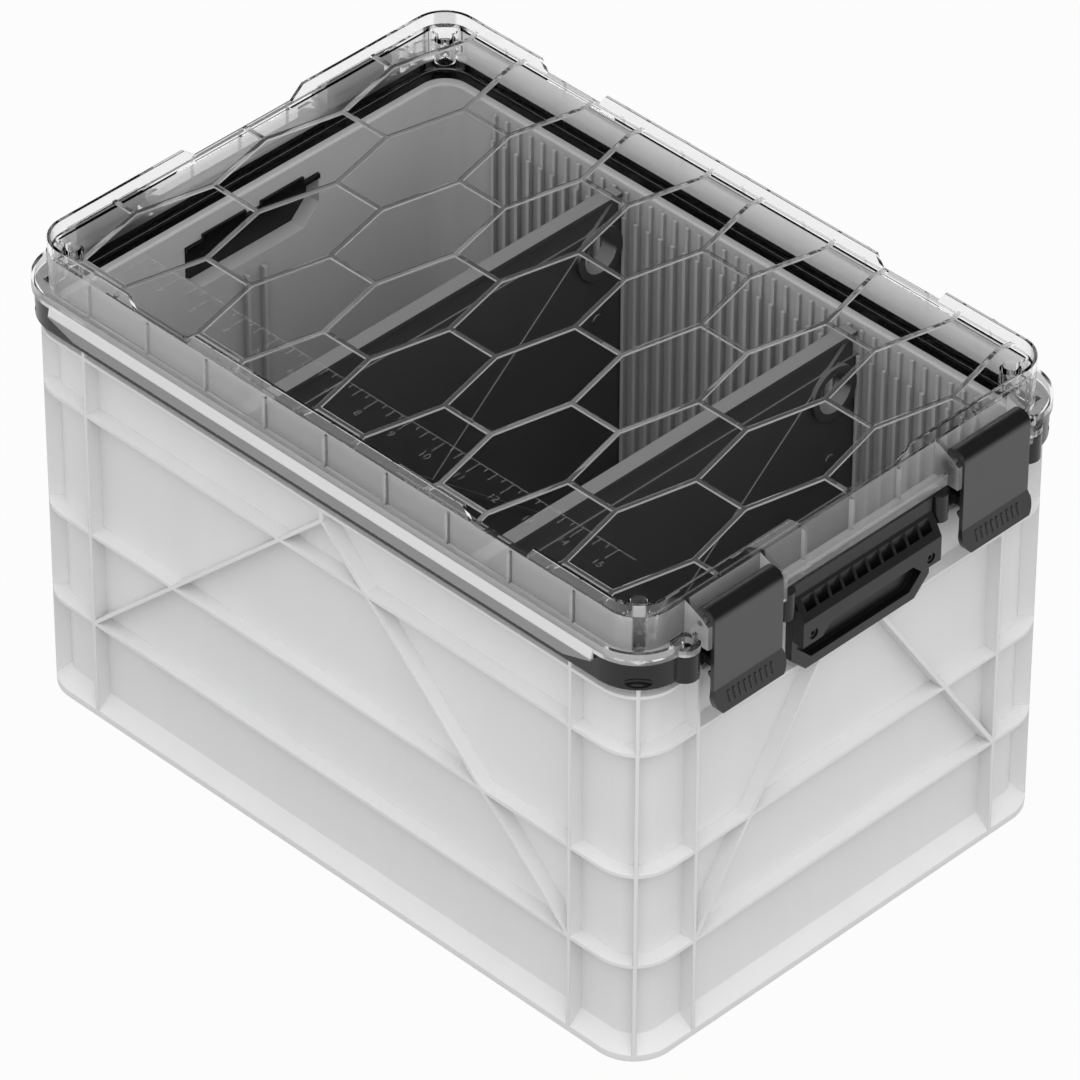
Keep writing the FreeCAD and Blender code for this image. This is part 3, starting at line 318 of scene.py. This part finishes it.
@dataclass(frozen=True)
class MouldedPlastic(Finish):
    """Opaque moulded plastic: fine grain, faint flow streaks, softened edges with a painted highlight.

    The colour drifts with the clouds and the flow and turns to a lighter edge colour along the edges, a
    painted highlight. Where it is given, a top colour takes over on faces that look up: painted light where
    it is lighter than the colour, painted shade where it is darker. Narrow gaps inside the crate's room turn
    dark by a set amount, painted shade.
    """

    name: str
    colour: Colour
    edge_colour: Colour
    roughness: float
    specular: float = 0.5
    drift: float = 0.075
    grain: float = 1400.0
    grain_depth: float = 0.06 * MM
    grain_strength: float = 0.25
    grain_gloss: float = 0.12
    cloud: float = 14.0
    cloud_gloss: float = 0.10
    flow: float = 60.0
    flow_stretch: Triple = (1.0, 1.0, 0.12)
    flow_share: float = 0.6
    scuff: float = 420.0
    scuff_stretch: Triple = (1.0, 0.25, 0.6)
    scuff_band: Band = (0.62, 0.78)
    scuff_gloss: float = 0.05
    edge_radius: float = 0.6 * MM
    edge_share: float = 0.4
    wear_least: float = 0.55
    wear_cloud: float = 0.9
    top_colour: Optional[Colour] = None
    top_band: Band = (0.05, 0.4)
    crevice: float = 0.0
    crevice_shade: float = 0.12
    crevice_reach: float = 9.0 * MM
    corner_x: float = 209.0 * MM
    corner_y: float = 135.5 * MM
    corner_radius: float = 15.1 * MM
    corner_soft: float = 0.3 * MM

    def crevices(self, shop: Shop, x: Value, y: Value) -> Value:
        """Tells how enclosed a place is, inside the crate's room only, as the mask of painted shade.

        Args:
            shop: the finish's shop.
            x: the place along the crate.
            y: the place across the crate.

        Returns:
            0 in the open, up to 1 in a narrow gap.
        """
        settings = {"samples": 6, "only_local": True}
        around = shop.node("ShaderNodeAmbientOcclusion", settings, {"Distance": self.crevice_reach})
        past_x = (abs(x) - self.corner_x).larger(0.0)
        past_y = (abs(y) - self.corner_y).larger(0.0)
        brink = self.corner_radius ** 2
        clear = (self.corner_radius + self.corner_soft) ** 2
        outside = (past_x * past_x + past_y * past_y).rising(brink, clear)
        return (1 - around.out("AO")) * (1 - outside)

    def make(self, shop: Shop) -> None:
        """Builds the plastic's nodes.

        Args:
            shop: the finish's shop.
        """
        where, x, y, _ = shop.place()
        soft, edge = shop.rounding(self.edge_radius)
        grain = shop.noise(where, self.grain, detail=3.0)
        cloud = shop.noise(where, self.cloud, detail=3.0)
        flow = shop.noise(where, self.flow, stretch=self.flow_stretch)
        scuff = shop.noise(where, self.scuff, detail=4.0, stretch=self.scuff_stretch)

        darker, lighter = toned(self.colour, 1 - self.drift), toned(self.colour, 1 + self.drift)
        colour = shop.blend(cloud + flow.centred() * self.flow_share, darker, lighter)
        # Painted highlight: a lighter edge colour along the softened edges, uneven with the clouds
        edge_highlight = (edge * (self.edge_share * (self.wear_least + self.wear_cloud * cloud))).smaller(1.0)
        colour = shop.blend(edge_highlight, colour, self.edge_colour)
        # Painted light and shade on faces that look up: lighter tops stand for light from above, darker tops
        # for shade
        if self.top_colour is not None:
            turn = shop.node("ShaderNodeSeparateXYZ", {}, {0: shop.facing().out("Normal")})
            colour = shop.blend(turn.out("Z").rising(*self.top_band), colour, self.top_colour)
        # Painted shade: narrow gaps inside the crate's room darken where the ambient occlusion is low
        if self.crevice:
            painted_shade_share = self.crevices(shop, x, y) * self.crevice
            colour = shop.blend(painted_shade_share, colour, toned(self.colour, self.crevice_shade))

        gloss = self.grain_gloss * grain.centred() + self.cloud_gloss * cloud.centred()
        gloss = gloss + self.scuff_gloss * scuff.rising(*self.scuff_band)
        normal = shop.bump(grain, self.grain_strength, self.grain_depth, soft)
        shop.surface(shop.principled({
            "Base Color": colour, "Roughness": self.roughness + gloss, "Normal": normal,
            "Specular IOR Level": self.specular}))


@dataclass(frozen=True)
class LidZones:
    """Masks from 0 to 1 that tell the clear lid's surfaces apart.

    long_side is 1 on faces that look along Y, outward on faces that look away from the lid's middle, and
    inward on faces that look towards it, from just below the gutter up.
    """

    flat: Value
    wall: Value
    rib_top: Value
    rib_side: Value
    gutter: Value
    lip: Value
    long_side: Value
    outward: Value
    inward: Value


@dataclass(frozen=True)
class ClearPlastic(Finish):
    """Clear moulded plastic: plain panes, a haze on its upright walls, and edges that bend the light."""

    name: str
    tint: Colour = (0.985, 0.985, 0.985)
    pane_tint: Colour = (0.975, 0.975, 0.975)
    haze_colour: Colour = (0.833, 0.833, 0.833)
    shade_tint: Colour = (0.77, 0.77, 0.77)
    refraction: float = 1.49
    specular: float = 0.4
    roughness: float = 0.015
    speck: float = 900.0
    speck_band: Band = (0.55, 0.8)
    speck_gloss: float = 0.02
    ripple: float = 35.0
    ripple_strength: float = 0.06
    ripple_depth: float = 0.4 * MM
    ripple_share: float = 0.06
    long_share: float = 0.70
    short_share: float = 0.34
    inner_share: float = 0.88
    inner_end_share: float = 0.50
    lip_share: float = 0.85
    rib_share: float = 0.20
    rib_side_share: float = 0.70
    gutter_share: float = 0.30
    glow_share: float = 0.5
    upright_band: Band = (0.35, 0.65)
    level_band: Band = (0.9, 0.97)
    square_band: Band = (0.98, 0.995)
    side_band: Band = (-0.2, 0.2)
    outward_band: Band = (-0.01, 0.01)
    wall_x: float = 226.5 * MM
    wall_y: float = 153.0 * MM
    wall_soft: float = 1.0 * MM
    foot: float = 263.0 * MM
    inner_foot: float = 275.0 * MM
    head: float = 299.4 * MM
    plate_level: float = LID_TOP
    rib_level: float = 301.0 * MM
    rib_soft: float = 0.1 * MM
    gutter_foot: float = 277.0 * MM
    gutter_head: float = 279.0 * MM
    lip_y: float = 165.8 * MM
    lip_foot: float = 271.6 * MM
    lip_head: float = 278.2 * MM
    soft: float = 0.4 * MM

    def zones(self, shop: Shop, facing: Made, x: Value, y: Value, z: Value) -> LidZones:
        """Tells the lid's surfaces apart by their place and by the way they face.

        Args:
            shop: the finish's shop.
            facing: the node that tells how a surface faces.
            x: the place along the lid.
            y: the place across the lid.
            z: the place above the crate's base.

        Returns:
            The masks.
        """
        turn = shop.node("ShaderNodeSeparateXYZ", {}, {0: facing.out("Normal")})
        turn_x, turn_y, slope = turn.out("X"), turn.out("Y"), abs(turn.out("Z"))
        upright, level = 1 - slope.rising(*self.upright_band), slope.rising(*self.level_band)
        square = abs(turn_x).larger(abs(turn_y)).rising(*self.square_band)
        past_end = abs(x).rising(self.wall_x - self.wall_soft, self.wall_x)
        past_side = abs(y).rising(self.wall_y - self.wall_soft, self.wall_y)
        outer = past_end.larger(past_side)
        wall = upright * outer * z.between(self.foot, self.head, self.soft)
        plate = level * (1 - outer)
        rib_top = plate * z.rising(self.rib_level - self.rib_soft, self.rib_level)
        outward = (x * turn_x + y * turn_y).rising(*self.outward_band)
        past_lip = abs(y).rising(self.lip_y - self.soft, self.lip_y)
        return LidZones(
            flat=(plate - rib_top).larger(wall * square),
            wall=wall,
            rib_top=rib_top,
            rib_side=upright * (1 - outer) * z.rising(self.plate_level, self.plate_level + self.rib_soft),
            gutter=level * outer * z.between(self.gutter_foot, self.gutter_head, self.soft),
            lip=past_lip * z.between(self.lip_foot, self.lip_head, self.soft),
            long_side=(abs(turn_y) - abs(turn_x)).rising(*self.side_band),
            outward=outward,
            inward=(1 - outward) * z.rising(self.inner_foot, self.inner_foot + self.wall_soft))

    def haze(self, zones: LidZones, ripple: Value) -> Value:
        """Works out how hazy each of the lid's surfaces is.

        Args:
            zones: the masks of those surfaces.
            ripple: the noise that makes the walls' haze uneven.

        Returns:
            The share of haze.
        """
        outside = self.short_share + (self.long_share - self.short_share) * zones.long_side
        inside = self.inner_end_share + (self.inner_share - self.inner_end_share) * zones.long_side
        share = outside * zones.outward + inside * zones.inward
        share = share + (self.lip_share - share) * zones.lip * zones.outward
        walls = zones.wall * (share + self.ripple_share * ripple.centred())
        ribs = zones.rib_top * self.rib_share + zones.rib_side * self.rib_side_share
        return walls + ribs + zones.gutter * self.gutter_share

    def make(self, shop: Shop) -> None:
        """Builds the clear plastic's nodes.

        Args:
            shop: the finish's shop.
        """
        where, x, y, z = shop.place()
        facing = shop.facing()
        zones = self.zones(shop, facing, x, y, z)
        ripple = shop.noise(where, self.ripple)
        speck = shop.noise(where, self.speck, detail=3.0).rising(*self.speck_band)
        normal = shop.bump(ripple, self.ripple_strength, self.ripple_depth, facing.out("Normal"))
        clear = shop.principled({
            "Base Color": opaque(self.tint), "Roughness": self.roughness + self.speck_gloss * speck,
            "IOR": self.refraction, "Specular IOR Level": self.specular, "Transmission Weight": 1.0,
            "Normal": normal})
        pane = shop.node("ShaderNodeBsdfTransparent", {}, {"Color": opaque(self.pane_tint)})
        through = shop.mix(zones.flat, clear, pane)

        # Haze counts once, where a ray enters the plastic
        bright = shop.node("ShaderNodeBsdfDiffuse", {}, {"Color": opaque(self.haze_colour)})
        glow = shop.node("ShaderNodeBsdfTranslucent", {}, {"Color": opaque(self.haze_colour)})
        glowing = self.glow_share + (1 - self.glow_share) * zones.inward
        frosted = shop.mix(glowing * (1 - zones.lip.larger(zones.gutter)), bright, glow)
        seen = shop.mix(self.haze(zones, ripple) * (1 - facing.out("Backfacing")), through, frosted)

        # Light that only passes through on its way to other pieces is dimmed, not bent
        light = shop.node("ShaderNodeLightPath", {}, {})
        passing = light.out("Is Shadow Ray").larger(light.out("Is Diffuse Ray"))
        shade = shop.node("ShaderNodeBsdfTransparent", {}, {"Color": opaque(self.shade_tint)})
        shop.surface(shop.mix(passing, seen, shade))


@dataclass(frozen=True)
class EtchedMark(Finish):
    """Fine frosted lines and numbers on clear plastic."""

    name: str
    colour: Colour = (0.50, 0.50, 0.505)
    roughness: float = 0.55
    cover: float = 0.10
    cover_drift: float = 0.25
    speck: float = 1500.0
    speck_shade: float = 0.9

    def make(self, shop: Shop) -> None:
        """Builds the etched mark's nodes.

        Args:
            shop: the finish's shop.
        """
        speck = shop.noise(shop.place()[0], self.speck)
        shop.surface(shop.principled({
            "Base Color": shop.blend(speck, toned(self.colour, self.speck_shade), self.colour),
            "Roughness": self.roughness, "Alpha": self.cover + self.cover_drift * speck.centred()}))


@dataclass(frozen=True)
class SealRubber(Finish):
    """Soft grey sealing rubber."""

    name: str
    colour: Colour = (0.55, 0.55, 0.555)
    roughness: float = 0.7
    grain: float = 2200.0
    grain_strength: float = 0.3
    grain_depth: float = 0.05 * MM
    grain_gloss: float = 0.1
    cloud: float = 40.0
    cloud_shade: float = 0.9

    def make(self, shop: Shop) -> None:
        """Builds the rubber's nodes.

        Args:
            shop: the finish's shop.
        """
        where = shop.place()[0]
        grain, cloud = shop.noise(where, self.grain), shop.noise(where, self.cloud)
        normal = shop.bump(grain, self.grain_strength, self.grain_depth, shop.facing().out("Normal"))
        shop.surface(shop.principled({
            "Base Color": shop.blend(cloud, toned(self.colour, self.cloud_shade), self.colour),
            "Roughness": self.roughness + self.grain_gloss * grain, "Normal": normal}))


@dataclass(frozen=True)
class TurnedSteel(Finish):
    """Plain or blackened steel with fine turning lines."""

    name: str
    colour: Colour
    roughness: float = 0.34
    metallic: float = 1.0
    line: float = 900.0
    line_stretch: Triple = (0.2, 4.0, 0.2)
    line_strength: float = 0.2
    line_depth: float = 0.03 * MM
    line_gloss: float = 0.12
    cloud: float = 150.0
    cloud_shade: float = 0.85

    def make(self, shop: Shop) -> None:
        """Builds the steel's nodes.

        Args:
            shop: the finish's shop.
        """
        where = shop.place()[0]
        line = shop.noise(where, self.line, stretch=self.line_stretch)
        cloud = shop.noise(where, self.cloud)
        normal = shop.bump(line, self.line_strength, self.line_depth, shop.facing().out("Normal"))
        shop.surface(shop.principled({
            "Base Color": shop.blend(cloud, toned(self.colour, self.cloud_shade), self.colour),
            "Metallic": self.metallic, "Roughness": self.roughness + self.line_gloss * line.centred(),
            "Normal": normal}))


# The lighter edge colours are painted highlights; the dividers' lighter tops are painted light, the latches'
# darker tops painted shade, and the crate's darkened gaps painted shade
CRATE_GREY = MouldedPlastic("crate_grey", (0.77, 0.77, 0.772), (0.84, 0.84, 0.842), 0.5,
                            drift=0.03, edge_share=0.35, edge_radius=0.8 * MM, crevice=0.9)
FRAME_BLACK = MouldedPlastic("frame_black", (0.006, 0.006, 0.0062), (0.03, 0.03, 0.031), 0.25,
                             specular=0.4, grain_strength=0.12)
LATCH_BLACK = MouldedPlastic("latch_black", (0.024, 0.024, 0.025), (0.06, 0.06, 0.062), 0.35,
                             specular=0.7, top_colour=(0.006, 0.006, 0.0062))
HANDLE_BLACK = MouldedPlastic("handle_black", (0.007, 0.007, 0.0073), (0.05, 0.05, 0.052), 0.38, specular=0.4)
DIVIDER_BLACK = MouldedPlastic("divider_black", (0.070, 0.070, 0.071), (0.16, 0.16, 0.162), 0.5,
                               top_colour=(0.30, 0.30, 0.302))
LID_CLEAR = ClearPlastic("lid_clear")
RULER_ETCH = EtchedMark("ruler_etch")
SEAL_GREY = SealRubber("seal_grey")
PIN_STEEL = TurnedSteel("pin_steel", (0.56, 0.56, 0.57))
SCREW_STEEL = TurnedSteel("screw_black", (0.05, 0.05, 0.052), roughness=0.38, metallic=0.7)


class Bench:
    """Edit-mode modelling of new pieces, always with nothing else selected."""

    UPWARD = 0.9

    @staticmethod
    def clear() -> None:
        """Leaves edit mode and deselects everything."""
        if bpy.context.object and bpy.context.object.mode != "OBJECT":
            bpy.ops.object.mode_set(mode="OBJECT")
        bpy.ops.object.select_all(action="DESELECT")

    @staticmethod
    def only(pieces: Iterable[bpy.types.Object]) -> bpy.types.Object:
        """Selects just these pieces and makes the first one active.

        Args:
            pieces: the pieces to select.

        Returns:
            The first piece.
        """
        Bench.clear()
        pieces = list(pieces)
        for piece in pieces:
            piece.select_set(True)
        bpy.context.view_layer.objects.active = pieces[0]
        return pieces[0]

    @staticmethod
    def bar(name: str, low: Sequence[float], high: Sequence[float], top_inset: float,
            edge: float) -> bpy.types.Object:
        """Models a raised bar: a block with a panel set in its top and with bevelled edges.

        Args:
            name: the piece's name.
            low: its lowest corner.
            high: its highest corner.
            top_inset: how far in from the top's edges the panel lies.
            edge: width of the bevel along every edge.

        Returns:
            The piece, with its place in its mesh.
        """
        Bench.clear()
        low, high = Vector(low), Vector(high)
        bpy.ops.mesh.primitive_cube_add(size=1.0, location=(low + high) / 2)
        piece = bpy.context.object
        piece.name = name
        piece.scale = high - low
        Bench.settle(piece)
        Bench.pick_top(piece)
        bpy.ops.mesh.inset(thickness=top_inset, depth=0.0)
        bpy.ops.mesh.select_all(action="SELECT")
        bpy.ops.mesh.bevel(offset=edge, segments=2, affect="EDGES")
        bpy.ops.mesh.normals_make_consistent(inside=False)
        bpy.ops.object.mode_set(mode="OBJECT")
        return piece

    @staticmethod
    def pick_top(piece: bpy.types.Object) -> None:
        """Enters edit mode with only the faces that look up selected.

        Args:
            piece: the piece to edit.
        """
        Bench.only([piece])
        for polygon in piece.data.polygons:
            polygon.select = polygon.normal.z > Bench.UPWARD
        bpy.ops.object.mode_set(mode="EDIT")
        bpy.ops.mesh.select_mode(type="FACE")

    @staticmethod
    def settle(piece: bpy.types.Object) -> bpy.types.Object:
        """Moves a piece's place, turn and scale into its mesh.

        Args:
            piece: the piece to settle.

        Returns:
            The same piece.
        """
        Bench.only([piece])
        bpy.ops.object.transform_apply(location=True, rotation=True, scale=True)
        return piece

    @staticmethod
    def repeat(piece: bpy.types.Object, count: int, step: Sequence[float]) -> bpy.types.Object:
        """Repeats a piece in a row with an applied array.

        Args:
            piece: the first of the row.
            count: how many stand in the row.
            step: the way from one to the next.

        Returns:
            The row, as one piece.
        """
        Bench.only([piece])
        array = piece.modifiers.new("row", "ARRAY")
        array.count = count
        array.use_relative_offset = False
        array.use_constant_offset = True
        array.constant_offset_displace = step
        bpy.ops.object.modifier_apply(modifier=array.name)
        return piece

    @staticmethod
    def join(pieces: Sequence[bpy.types.Object], name: str) -> bpy.types.Object:
        """Joins pieces into one.

        Args:
            pieces: the pieces to join.
            name: the name of the whole.

        Returns:
            The whole.
        """
        whole = Bench.only(pieces)
        bpy.ops.object.join()
        whole.name = name
        whole.data.name = name
        return whole

    @staticmethod
    def turn(piece: bpy.types.Object, matrix: Matrix) -> bpy.types.Object:
        """Moves a finished piece by a matrix, into its mesh, and returns it."""
        piece.matrix_world = matrix @ piece.matrix_world
        return Bench.settle(piece)


def node(name: str) -> bpy.types.Object:
    """Returns a CAD node by its name."""
    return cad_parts[name]


@dataclass
class CrateShell:
    """The moulded crate with its ribs, neck, comb and hand holes."""

    shell: str = "crate_body"

    def dress(self) -> None:
        """Gives the crate its grey plastic."""
        CRATE_GREY.dress(node(self.shell))
        log.info("dressed %s", self.shell)


@dataclass
class RimSeal:
    """The black rim frame and the seal in its groove."""

    rim: str = "rim_frame"
    seal: str = "gasket"

    def dress(self) -> None:
        """Gives the frame its half-gloss black and the seal its rubber."""
        FRAME_BLACK.dress(node(self.rim))
        SEAL_GREY.dress(node(self.seal))
        log.info("dressed %s and %s", self.rim, self.seal)


@dataclass
class ClearLid:
    """The clear lid and the inch ruler etched along its near edge."""

    lid: str = "lid"
    body: str = "lid"
    slot: str = "clear_plastic"
    top: float = LID_TOP
    inch: float = 25.4 * MM
    inches: int = 15
    border_y: float = -118.3 * MM
    border_half: float = 190.0 * MM
    line: float = 0.7 * MM
    line_inset_share: float = 0.1
    line_edge: float = 0.05 * MM
    rise: float = 0.25 * MM
    sink: float = 0.05 * MM
    long_tick: float = 10.5 * MM
    half_tick: float = 7.0 * MM
    short_tick: float = 3.6 * MM
    figure_y: float = -134.0 * MM
    figure_size: float = 7.0 * MM
    figure_steps: int = 3

    def dress(self) -> None:
        """Gives the lid its clear plastic."""
        LID_CLEAR.dress(node(self.lid))
        log.info("dressed %s", self.lid)

    def stroke(self, name: str, low: tuple[float, float], high: tuple[float, float]) -> bpy.types.Object:
        """Models one straight line of the ruler.

        Args:
            name: the line's name.
            low: its lowest x and y.
            high: its highest x and y.

        Returns:
            The line.
        """
        foot, head = self.top - self.sink, self.top + self.rise
        inset = self.line_inset_share * self.line
        return Bench.bar(name, low + (foot,), high + (head,), inset, self.line_edge)

    def tick(self, name: str, x: float, length: float) -> bpy.types.Object:
        """Models one tick that hangs from the border towards the lid's near edge.

        Args:
            name: the tick's name.
            x: its middle along the lid.
            length: its length.

        Returns:
            The tick.
        """
        low = (x - self.line / 2, self.border_y - length)
        return self.stroke(name, low, (x + self.line / 2, self.border_y))

    def figure(self, number: int, x: float) -> bpy.types.Object:
        """Writes one number as a raised mesh.

        Args:
            number: the number to write.
            x: its middle along the lid.

        Returns:
            The number.
        """
        Bench.clear()
        bpy.ops.object.text_add(location=(0, 0, 0))
        text = bpy.context.object
        text.data.body = str(number)
        text.data.size = self.figure_size
        text.data.align_x = "CENTER"
        text.data.align_y = "CENTER"
        text.data.extrude = self.rise / 2
        text.data.resolution_u = self.figure_steps
        Bench.only([text])
        bpy.ops.object.convert(target="MESH")
        mark = bpy.context.object
        mark.location = (x, self.figure_y, self.top + self.rise / 2 - self.sink)
        return Bench.settle(mark)

    def ruler(self) -> bpy.types.Object:
        """Models the ruler's border, ticks and numbers as one piece.

        Returns:
            The ruler.
        """
        gaps = self.inches - 1
        first = -gaps / 2 * self.inch
        border = self.stroke("ruler_border", (-self.border_half, self.border_y - self.line / 2),
                             (self.border_half, self.border_y + self.line / 2))
        inch_tick = self.tick("ruler_inch", first, self.long_tick)
        half_tick = self.tick("ruler_half", first + self.inch / 2, self.half_tick)
        quarter_tick = self.tick("ruler_quarter", first + self.inch / 4, self.short_tick)
        rows = [
            Bench.repeat(inch_tick, self.inches, (self.inch, 0, 0)),
            Bench.repeat(half_tick, gaps, (self.inch, 0, 0)),
            Bench.repeat(quarter_tick, 2 * gaps, (self.inch / 2, 0, 0)),
        ]
        figures = [self.figure(n + 1, first + n * self.inch) for n in range(self.inches)]
        whole = Bench.join([border] + rows + figures, "lid_ruler")
        RULER_ETCH.dress(whole)
        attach(whole, self.body)
        log.info("built %s", whole.name)
        return whole


@dataclass
class LatchSet:
    """The four swing latches with their pins and plain grip ridges."""

    front_face: float = 248.0 * MM
    rear_face: float = 244.0 * MM
    tab_edge: float = 252.5 * MM
    place_y: float = 94.0 * MM
    tab_top: float = 247.0 * MM
    tab_foot: float = 233.6 * MM
    ridges: int = 9
    pitch: float = 4.0 * MM
    ridge_width: float = 1.5 * MM
    ridge_inset_share: float = 0.2
    ridge_edge: float = 0.15 * MM
    ridge_length: float = 7.0 * MM
    ridge_rise: float = 0.45 * MM
    sink: float = 0.2 * MM
    slot: str = "latch_plastic"

    def names(self) -> list[tuple[str, End, Side]]:
        """Returns each latch's corner name with its end and side."""
        corners = [(end, side) for end in End for side in Side]
        return [("%s_%s" % (end.name.lower(), side.name.lower()), end, side) for end, side in corners]

    def dress(self) -> None:
        """Gives the latches and pins their finishes."""
        for corner, _, _ in self.names():
            LATCH_BLACK.dress(node("latch_" + corner))
            PIN_STEEL.dress(node("latch_pin_" + corner))
            log.info("dressed latch_%s", corner)

    def grip(self, corner: str, end: End, side: Side) -> bpy.types.Object:
        """Models a row of ridges on one latch's tab.

        Args:
            corner: the latch's corner name.
            end: the end it is on.
            side: the side it is on.

        Returns:
            The ridges, as one piece.
        """
        half_row = (self.ridges - 1) / 2 * self.pitch
        ridge = Bench.bar("ridge", (-self.ridge_length / 2, -half_row - self.ridge_width / 2, -self.sink),
                          (self.ridge_length / 2, -half_row + self.ridge_width / 2, self.ridge_rise),
                          self.ridge_inset_share * self.ridge_width, self.ridge_edge)
        row = Bench.repeat(ridge, self.ridges, (0, self.pitch, 0))
        face = self.front_face if end is End.FRONT else self.rear_face
        lean = math.atan2(self.tab_edge - face, self.tab_top - self.tab_foot)
        middle = Vector(((face + self.tab_edge) / 2, 0, (self.tab_top + self.tab_foot) / 2))
        tilt = Matrix.Rotation(math.pi / 2 - lean, 4, "Y")
        place = Matrix.Translation(middle) @ tilt
        if end is End.REAR:
            place = Matrix.Rotation(math.pi, 4, "Z") @ place
        place = Matrix.Translation((0, side.value * self.place_y, 0)) @ place
        Bench.turn(row, place)
        row.name = "latch_grip_" + corner
        row.data.name = row.name
        LATCH_BLACK.dress(row)
        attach(row, "latch_" + corner)
        log.info("built %s", row.name)
        return row

    def build(self) -> None:
        """Models the grips of all four latches."""
        for corner, end, side in self.names():
            self.grip(corner, end, side)


@dataclass
class EndHandles:
    """The two end handles: ribbed shroud, grip loop and screws."""

    def dress(self) -> None:
        """Gives the handles and screws their finishes."""
        for end in End:
            name = end.name.lower()
            HANDLE_BLACK.dress(node("handle_shroud_" + name))
            HANDLE_BLACK.dress(node("handle_grip_" + name))
            SCREW_STEEL.dress(node("handle_screws_" + name))
            log.info("dressed the %s handle", name)


@dataclass
class DividerSet:
    """The two lift-out dividers."""

    def dress(self) -> None:
        """Gives the dividers their matt black."""
        for end in End:
            DIVIDER_BLACK.dress(node("divider_" + end.name.lower()))
            log.info("dressed divider_%s", end.name.lower())


@dataclass
class Studio:
    """Floor, light, white surroundings and the camera."""

    azimuth: float = math.radians(44.94)
    elevation: float = math.radians(38.53)
    roll: float = math.radians(0.16)
    distance: float = 4.4943
    target: Triple = (0.0, 0.0, 0.1339)
    shift_right: float = 1.65 * MM
    shift_up: float = 4.45 * MM
    lens: float = 273.8
    sensor: float = 36.0
    sight: float = 50.0
    floor_size: float = 12.0
    floor_level: float = -0.5 * MM
    floor_tone: Colour = (0.35, 0.35, 0.35)
    floor_white: float = 0.96
    sky: float = 1.06
    sheen: float = 0.08
    key_power: float = 20.0
    key_size: float = 2.4
    key_from: Triple = (1.3, -0.9, 2.6)

    def floor(self) -> None:
        """Lays the pale floor, white to the camera but for the crate's own soft shadow."""
        Bench.clear()
        bpy.ops.mesh.primitive_plane_add(size=self.floor_size, location=(0, 0, self.floor_level))
        plane = bpy.context.object
        plane.name = "studio_floor"
        Bench.settle(plane)
        material = bpy.data.materials.new("floor_white")
        material.use_nodes = True
        shop = Shop(material.node_tree)
        light = shop.node("ShaderNodeLightPath", {}, {})
        direct = light.out("Is Camera Ray").larger(light.out("Is Transmission Ray"))
        seen = direct.larger(light.out("Is Glossy Ray"))
        matt = shop.node("ShaderNodeBsdfDiffuse", {}, {"Color": opaque(self.floor_tone)})
        white = shop.node("ShaderNodeEmission", {}, {"Color": opaque(WHITE), "Strength": 1.0})
        shop.surface(shop.mix(self.floor_white * seen, matt, white))
        plane.data.materials.append(material)

    def surroundings(self) -> None:
        """Makes the world a plain white studio that glossy surfaces mirror only faintly."""
        world = bpy.data.worlds.new("studio")
        bpy.context.scene.world = world
        world.use_nodes = True
        shop = Shop(world.node_tree)
        light = shop.node("ShaderNodeLightPath", {}, {})
        direct = light.out("Is Camera Ray").larger(light.out("Is Transmission Ray"))
        lit, mirrored, white = [
            shop.node("ShaderNodeBackground", {}, {"Color": opaque(WHITE), "Strength": strength})
            for strength in (self.sky, self.sheen, 1.0)]
        indirect = shop.mix(light.out("Is Glossy Ray"), lit, mirrored)
        shop.node("ShaderNodeOutputWorld", {}, {"Surface": shop.mix(direct, indirect, white)})

    def lamp(self) -> None:
        """Hangs one large soft key light."""
        data = bpy.data.lights.new("key", "AREA")
        data.shape = "DISK"
        data.size = self.key_size
        data.energy = self.key_power
        key = bpy.data.objects.new("key", data)
        bpy.context.scene.collection.objects.link(key)
        key.location = self.key_from
        aim = Vector(self.target) - Vector(self.key_from)
        key.rotation_euler = aim.to_track_quat("-Z", "Y").to_euler()

    def camera(self) -> None:
        """Sets the camera at the photograph's viewing angle."""
        back = Vector((math.sin(self.azimuth) * math.cos(self.elevation),
                       -math.cos(self.azimuth) * math.cos(self.elevation), math.sin(self.elevation)))
        right = Vector((math.cos(self.azimuth), math.sin(self.azimuth), 0.0))
        up = back.cross(right)
        middle = Vector(self.target) + right * self.shift_right + up * self.shift_up
        data = bpy.data.cameras.new("photo_camera")
        data.sensor_width = self.sensor
        data.lens = self.lens
        data.clip_end = self.sight
        camera = bpy.data.objects.new("photo_camera", data)
        bpy.context.scene.collection.objects.link(camera)
        turn = Matrix((right, up, back)).transposed().to_4x4() @ Matrix.Rotation(self.roll, 4, "Z")
        camera.matrix_world = Matrix.Translation(middle + back * self.distance) @ turn
        bpy.context.scene.camera = camera

    def build(self) -> None:
        """Builds the whole studio."""
        self.floor()
        self.surroundings()
        self.lamp()
        self.camera()
        bpy.context.scene.view_settings.view_transform = "Standard"
        log.info("built the studio")


def main() -> None:
    """Dresses every sub-assembly, adds the new pieces and sets up the studio."""
    logging.basicConfig(level=logging.INFO, format="%(name)s: %(message)s")
    CrateShell().dress()
    RimSeal().dress()
    lid = ClearLid()
    lid.dress()
    lid.ruler()
    latches = LatchSet()
    latches.dress()
    latches.build()
    EndHandles().dress()
    DividerSet().dress()
    Studio().build()
    Bench.clear()


if __name__ == "__main__":
    main()
